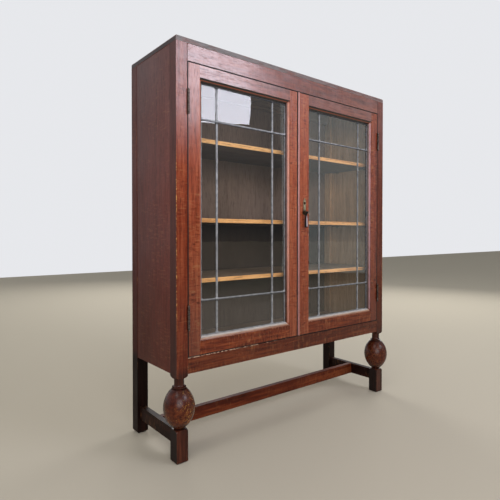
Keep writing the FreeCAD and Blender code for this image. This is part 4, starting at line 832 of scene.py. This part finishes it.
FINISHES = {
    leg_post: ("front_post_left", "front_post_right"),
    rear_leg: ("rear_post_left", "rear_post_right"),
    top_plank: ("top_board",),
    level: ("frieze_rail",),
    over_glass: ("left_door_top_rail", "right_door_top_rail"),
    apron_wood: ("apron_rail",),
    low_level: ("left_door_bottom_rail", "right_door_bottom_rail"),
    upright: ("left_door_hinge_stile", "left_door_glazing_beads"),
    far_upright: ("right_door_hinge_stile", "right_door_glazing_beads"),
    meeting: ("left_door_meeting_stile", "right_door_meeting_stile"),
    bead_wood: ("right_door_meeting_bead",),
    side_board: ("side_panel_left", "side_panel_right"),
    stretcher_side: ("side_stretcher_left", "side_stretcher_right"),
    stretcher_centre: ("centre_stretcher",),
    inside_level: ("rear_top_rail", "rear_bottom_rail", "bottom_board", "bottom_bearers", "top_glue_blocks",
                   "door_stop"),
    back_ply: ("back_panel",),
    shelf_board: ("shelf_upper", "shelf_middle", "shelf_lower"),
    came_lead: ("left_door_cames", "right_door_cames"),
    pane_glass: ("left_door_panes", "right_door_panes"),
    plate_brass: ("handle_plate",),
    aged_brass: ("lock_case", "lock_bolt", "lock_strike_plate", "upper_bolt",
                 "lower_bolt", "left_door_bolt_plates", "shelf_pegs"),
    hinge_brass: ("left_hinge_post_leaves", "right_hinge_post_leaves", "left_hinge_door_leaves",
                  "right_hinge_door_leaves", "left_hinge_pins", "right_hinge_pins", "handle_pin"),
    pull_bronze: ("drop_handle",),
    screw_steel: ("hinge_post_screws", "left_hinge_door_screws", "right_hinge_door_screws", "lock_screws",
                  "left_door_bolt_screws"),
}
for material, names in FINISHES.items():
    for name in names:
        NODES[name].data.materials.clear()
        NODES[name].data.materials.append(material)


# Softened edges

ARRIS = 0.0007
ARRIS_ANGLE = 40
WELD_REACH = 1e-5
SOFT_NODES = (
    "frieze_rail", "apron_rail", "rear_post_left", "rear_post_right", "side_stretcher_left",
    "side_stretcher_right", "centre_stretcher", "shelf_upper", "shelf_middle", "shelf_lower", "top_board",
)


def soften(name):
    """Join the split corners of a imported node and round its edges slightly, as rubbing does."""
    piece = NODES[name]
    weld = piece.modifiers.new("weld", "WELD")
    weld.merge_threshold = WELD_REACH
    bevel = piece.modifiers.new("arris", "BEVEL")
    bevel.width = ARRIS
    bevel.segments = 2
    bevel.limit_method = "ANGLE"
    bevel.angle_limit = math.radians(ARRIS_ANGLE)
    bevel.harden_normals = True
    bevel.use_clamp_overlap = False


for name in SOFT_NODES:
    soften(name)


# New pieces

def linked_object(name, mesh):
    """Turn a finished bmesh into an object in the scene."""
    data = bpy.data.meshes.new(name)
    mesh.to_mesh(data)
    mesh.free()
    made = bpy.data.objects.new(name, data)
    bpy.context.scene.collection.objects.link(made)
    return made


def new_piece(name, mesh, material, body):
    """Turn a finished bmesh into a piece that rides on a body."""
    piece = linked_object(name, mesh)
    piece.data.materials.append(material)
    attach(piece, body)
    return piece


def smooth_all(mesh):
    for face in mesh.faces:
        face.smooth = True


# Solder joints on the leaded lights

LIGHT_LAP = 0.0095
COLUMN_INSET = 0.055
ROW_INSET = 0.099
EDGE_CAME = 0.0015
LUMP_WIDE = 0.0062
LUMP_TALL = 0.0010
LUMP_SWELL = 0.28
LUMP_ROUGH = 1.3
LUMP_SEED_STEP = 3.7


def lump(mesh, place, outward, seed):
    """A flat pool of solder with an uneven rim, on one face of the cames."""
    made = bmesh.ops.create_icosphere(mesh, subdivisions=2, radius=1.0)
    for vertex in made["verts"]:
        swell = 1.0 + LUMP_SWELL * noise.noise(vertex.co * LUMP_ROUGH + Vector((seed, 0.0, 0.0)))
        across = vertex.co.x * LUMP_WIDE * swell
        up = vertex.co.z * LUMP_WIDE * swell
        vertex.co = place + Vector((across, outward * vertex.co.y * LUMP_TALL, up))


def solder(side):
    """Solder where the cames cross and where they run into the lead along the edge."""
    low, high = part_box(f"{side}_door_cames")
    left, right = low.x + LIGHT_LAP, high.x - LIGHT_LAP
    bottom, top = low.z + LIGHT_LAP, high.z - LIGHT_LAP
    columns = (left + COLUMN_INSET, right - COLUMN_INSET)
    rows = (bottom + ROW_INSET, top - ROW_INSET)
    spots = [(x, z) for x in columns for z in rows]
    spots += [(x, z) for x in columns for z in (bottom + EDGE_CAME, top - EDGE_CAME)]
    spots += [(x, z) for x in (left + EDGE_CAME, right - EDGE_CAME) for z in rows]
    mesh = bmesh.new()
    for number, (x, z) in enumerate(spots):
        for face, outward in ((low.y, -1), (high.y, 1)):
            lump(mesh, Vector((x, face, z)), outward, LUMP_SEED_STEP * number + outward)
    smooth_all(mesh)
    new_piece(f"{side}_door_solder", mesh, came_lead, f"{side}_door")


solder("left")
solder("right")


# Slots in the heads of the screws

SLOT_WIDE = 0.0008
SLOT_DEEP = 0.0007
SLOT_OVER = 0.0004
SLOT_TURN = 2.4
SAME_LEVEL = 1e-4
AXES = range(3)
SCREW_BODIES = {
    "hinge_post_screws": "carcase",
    "left_hinge_door_screws": "left_door",
    "right_hinge_door_screws": "right_door",
    "lock_screws": "right_door",
    "left_door_bolt_screws": "left_door",
}


def low_corner(places):
    return Vector([min(place[way] for place in places) for way in AXES])


def high_corner(places):
    return Vector([max(place[way] for place in places) for way in AXES])


def separate_solids(mesh):
    """The corner places of every separate solid in a mesh, in a fixed order."""
    waiting = set(mesh.verts)
    solids = []
    while waiting:
        pile = [waiting.pop()]
        places = []
        while pile:
            corner = pile.pop()
            places.append(corner.co.copy())
            near = {edge.other_vert(corner) for edge in corner.link_edges} & waiting
            waiting -= near
            pile.extend(near)
        solids.append(places)
    return sorted(solids, key=lambda places: [round(least, 5) for least in low_corner(places)])


def head_slot(mesh, places, turn):
    """Add a bar that cuts a slot across the wide end of one screw."""
    low, high = low_corner(places), high_corner(places)
    middle, size = (low + high) / 2, high - low
    long = max(AXES, key=lambda way: size[way])

    def width(end):
        return max((place - middle).length for place in places if abs(place[long] - end) < SAME_LEVEL)

    head = max((low[long], high[long]), key=width)
    outward = 1 if head > middle[long] else -1
    middle[long] = head + outward * (SLOT_OVER - SLOT_DEEP) / 2
    sizes = [2 * max(size[way] for way in AXES if way != long), SLOT_WIDE]
    sizes.insert(long, SLOT_DEEP + SLOT_OVER)
    axis = Vector([1.0 if way == long else 0.0 for way in AXES])
    place = Matrix.Translation(middle) @ Matrix.Rotation(turn, 4, axis) @ Matrix.Diagonal((*sizes, 1.0))
    bmesh.ops.create_cube(mesh, size=1.0, matrix=place)


def slotted_screws(node, body):
    """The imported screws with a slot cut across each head."""
    solid, bars = bmesh.new(), bmesh.new()
    solid.from_mesh(NODES[node].data)
    bmesh.ops.remove_doubles(solid, verts=solid.verts, dist=WELD_REACH)
    for number, places in enumerate(separate_solids(solid)):
        head_slot(bars, places, SLOT_TURN * number)
    blanks = linked_object("screw_blanks", solid)
    cutters = linked_object("slot_bars", bars)
    cut = blanks.modifiers.new("slots", "BOOLEAN")
    cut.operation = "DIFFERENCE"
    cut.solver = "EXACT"
    cut.object = cutters
    done = bmesh.new()
    done.from_object(blanks, bpy.context.evaluated_depsgraph_get())
    bpy.data.objects.remove(blanks)
    bpy.data.objects.remove(cutters)
    piece = new_piece(f"{node}_slotted", done, screw_steel, body)
    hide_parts(node)


for node, body in SCREW_BODIES.items():
    slotted_screws(node, body)


# Pins in the handle's plate and round the back

DOME_FOOT = -0.2
PLATE_PIN_HEIGHTS = (0.7005, 0.7275)
PLATE_PIN_HEAD = 0.0015
PLATE_PIN_RISE = 0.0009
PLATE_THICKNESS = 0.0015
PIN_HEAD = 0.0021
PIN_RISE = 0.0007
PIN_PITCH = 0.105
PIN_EDGE = 0.006


def dome(mesh, place, outward, radius, rise):
    """A domed pin head that stands on a face looking along Y."""
    made = bmesh.ops.create_uvsphere(mesh, u_segments=12, v_segments=6, radius=1.0)
    for vertex in made["verts"]:
        out = max(vertex.co.y * outward, DOME_FOOT) * rise * outward
        vertex.co = place + Vector((vertex.co.x * radius, out, vertex.co.z * radius))


def plate_pins():
    """Two round-headed brass pins that fix the handle's plate, below and above the keyhole."""
    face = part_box("right_door_meeting_stile")[0].y - PLATE_THICKNESS
    mesh = bmesh.new()
    for height in PLATE_PIN_HEIGHTS:
        dome(mesh, Vector((KEYHOLE[0], face, height)), -1, PLATE_PIN_HEAD, PLATE_PIN_RISE)
    smooth_all(mesh)
    new_piece("handle_plate_pins", mesh, hinge_brass, "right_door")


def spread(low, high, pitch):
    """Evenly spaced places from low to high."""
    count = max(1, round((high - low) / pitch))
    return [low + (high - low) * step / count for step in range(count + 1)]


def back_pins():
    """Domed panel pins round the edge of the back."""
    low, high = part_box("back_panel")
    left, right = low.x + PIN_EDGE, high.x - PIN_EDGE
    bottom, top = low.z + PIN_EDGE, high.z - PIN_EDGE
    spots = [(x, z) for x in spread(left, right, PIN_PITCH) for z in (bottom, top)]
    spots += [(x, z) for z in spread(bottom, top, PIN_PITCH)[1:-1] for x in (left, right)]
    mesh = bmesh.new()
    for x, z in spots:
        dome(mesh, Vector((x, high.y, z)), 1, PIN_HEAD, PIN_RISE)
    smooth_all(mesh)
    new_piece("back_pins", mesh, screw_steel, "carcase")


plate_pins()
back_pins()


# Stage

REACH = 30.0
WALL_BACK = 6.0
WALL_TALL = 12.0
FLOOR_COLOUR = (0.52, 0.475, 0.385)
WALL_COLOUR = (0.84, 0.85, 0.88)
WALL_BRIGHTNESS = 0.95


def plain(name, colour):
    """A matt stage surface."""
    return Shader(name).surface(Base_Color=colour, Roughness=0.85, Specular_IOR_Level=0.1)


def backdrop_paint(colour, brightness):
    """A pale wall that the camera, metal and glass see at one even tone."""
    shader = Shader("backdrop_pale")
    wall = shader.node("ShaderNodeBsdfDiffuse", {"Color": colour})
    glow = shader.node("ShaderNodeEmission", {"Color": colour, "Strength": brightness})
    path = shader.node("ShaderNodeLightPath").outputs
    rays = ("Is Glossy Ray", "Is Transmission Ray", "Is Camera Ray")
    seen = shader.math("MAXIMUM", *[path[ray] for ray in rays])
    both = shader.node("ShaderNodeMixShader", {0: seen, 1: wall.outputs[0], 2: glow.outputs[0]})
    return shader.finish(both.outputs[0])


def stage_plane(name, corners, material):
    """One face of the floor or the backdrop."""
    data = bpy.data.meshes.new(name)
    data.from_pydata(corners, [], [(0, 1, 2, 3)])
    data.materials.append(material)
    made = bpy.data.objects.new(name, data)
    bpy.context.scene.collection.objects.link(made)


floor_corners = [(-REACH, -REACH, 0), (REACH, -REACH, 0), (REACH, REACH, 0), (-REACH, REACH, 0)]
wall_corners = [
    (-REACH, WALL_BACK, 0), (REACH, WALL_BACK, 0),
    (REACH, WALL_BACK, WALL_TALL), (-REACH, WALL_BACK, WALL_TALL),
]
stage_plane("floor", floor_corners, plain("floor_pale", FLOOR_COLOUR))
stage_plane("backdrop", wall_corners, backdrop_paint(WALL_COLOUR, WALL_BRIGHTNESS))


# Light

ROOM_COLOUR = (0.95, 0.965, 0.98)
ROOM_CLIMB = {"From Min": 0.02, "From Max": 0.32, "To Min": 0.12, "To Max": 0.50}
# Each lamp: its place, where it points, its width and height, its power and its colour
LAMPS = {
    "window": ((1.12, -2.74, 2.14), (-0.36, -0.13, 1.0), (1.32, 0.92), 30.5, (0.88, 0.88, 1.0)),
    "ceiling": ((-2.4, -1.2, 3.1), (0.0, 0.0, 0.6), (1.3, 1.1), 15.0, (1.0, 0.97, 0.93)),
    "behind": ((-1.75, -3.0, 1.25), (-0.2, -0.1, 0.75), (2.4, 1.9), 56.0, (1.0, 0.95, 0.97)),
    "room": ((3.5, -2.85, 1.3), (0.2, -0.1, 0.8), (1.5, 2.4), 6.0, (0.90, 1.0, 0.98)),
    "right": ((3.3, 1.0, 1.9), (0.4, 0.0, 0.6), (1.6, 1.6), 34.0, (1.0, 0.98, 0.96)),
    "rear": ((1.3, 3.6, 2.3), (0.0, 0.15, 0.6), (1.8, 1.6), 48.0, (1.0, 0.98, 0.96)),
}


def studio_room():
    """A plain room for light: dim at eye level, brighter towards the ceiling."""
    world = bpy.data.worlds.new("studio")
    bpy.context.scene.world = world
    world.use_nodes = True
    tree = world.node_tree
    background = tree.nodes["Background"]
    background.inputs["Color"].default_value = (*ROOM_COLOUR, 1.0)
    place = tree.nodes.new("ShaderNodeTexCoord")
    parts = tree.nodes.new("ShaderNodeSeparateXYZ")
    climb = tree.nodes.new("ShaderNodeMapRange")
    climb.interpolation_type = "SMOOTHSTEP"
    for key, value in ROOM_CLIMB.items():
        climb.inputs[key].default_value = value
    tree.links.new(place.outputs["Generated"], parts.inputs[0])
    tree.links.new(parts.outputs["Z"], climb.inputs["Value"])
    tree.links.new(climb.outputs["Result"], background.inputs["Strength"])


def lamp(name, place, target, size, power, colour):
    """One soft rectangular lamp that points at its target."""
    data = bpy.data.lights.new(name, "AREA")
    data.shape = "RECTANGLE"
    data.size, data.size_y = size
    data.energy = power
    data.color = colour
    made = bpy.data.objects.new(name, data)
    bpy.context.scene.collection.objects.link(made)
    made.location = place
    made.rotation_euler = (Vector(target) - Vector(place)).to_track_quat("-Z", "Y").to_euler()


studio_room()
for name, settings in LAMPS.items():
    lamp(name, *settings)


# Camera

CAMERA_PLACE = (-1.0501, -1.16805, 0.614)
CAMERA_YAW = 38.79
CAMERA_PITCH = 0.795
SENSOR = 36.0
LENS = 32.355
SHIFT = (0.0019, -0.0188)

camera_data = bpy.data.cameras.new("camera")
camera_data.sensor_width = SENSOR
camera_data.lens = LENS
camera_data.shift_x, camera_data.shift_y = SHIFT
camera = bpy.data.objects.new("camera", camera_data)
bpy.context.scene.collection.objects.link(camera)
camera.location = CAMERA_PLACE
camera.rotation_euler = (math.radians(90 - CAMERA_PITCH), 0.0, math.radians(-CAMERA_YAW))
bpy.context.scene.camera = camera
bpy.context.scene.view_settings.view_transform = "Standard"
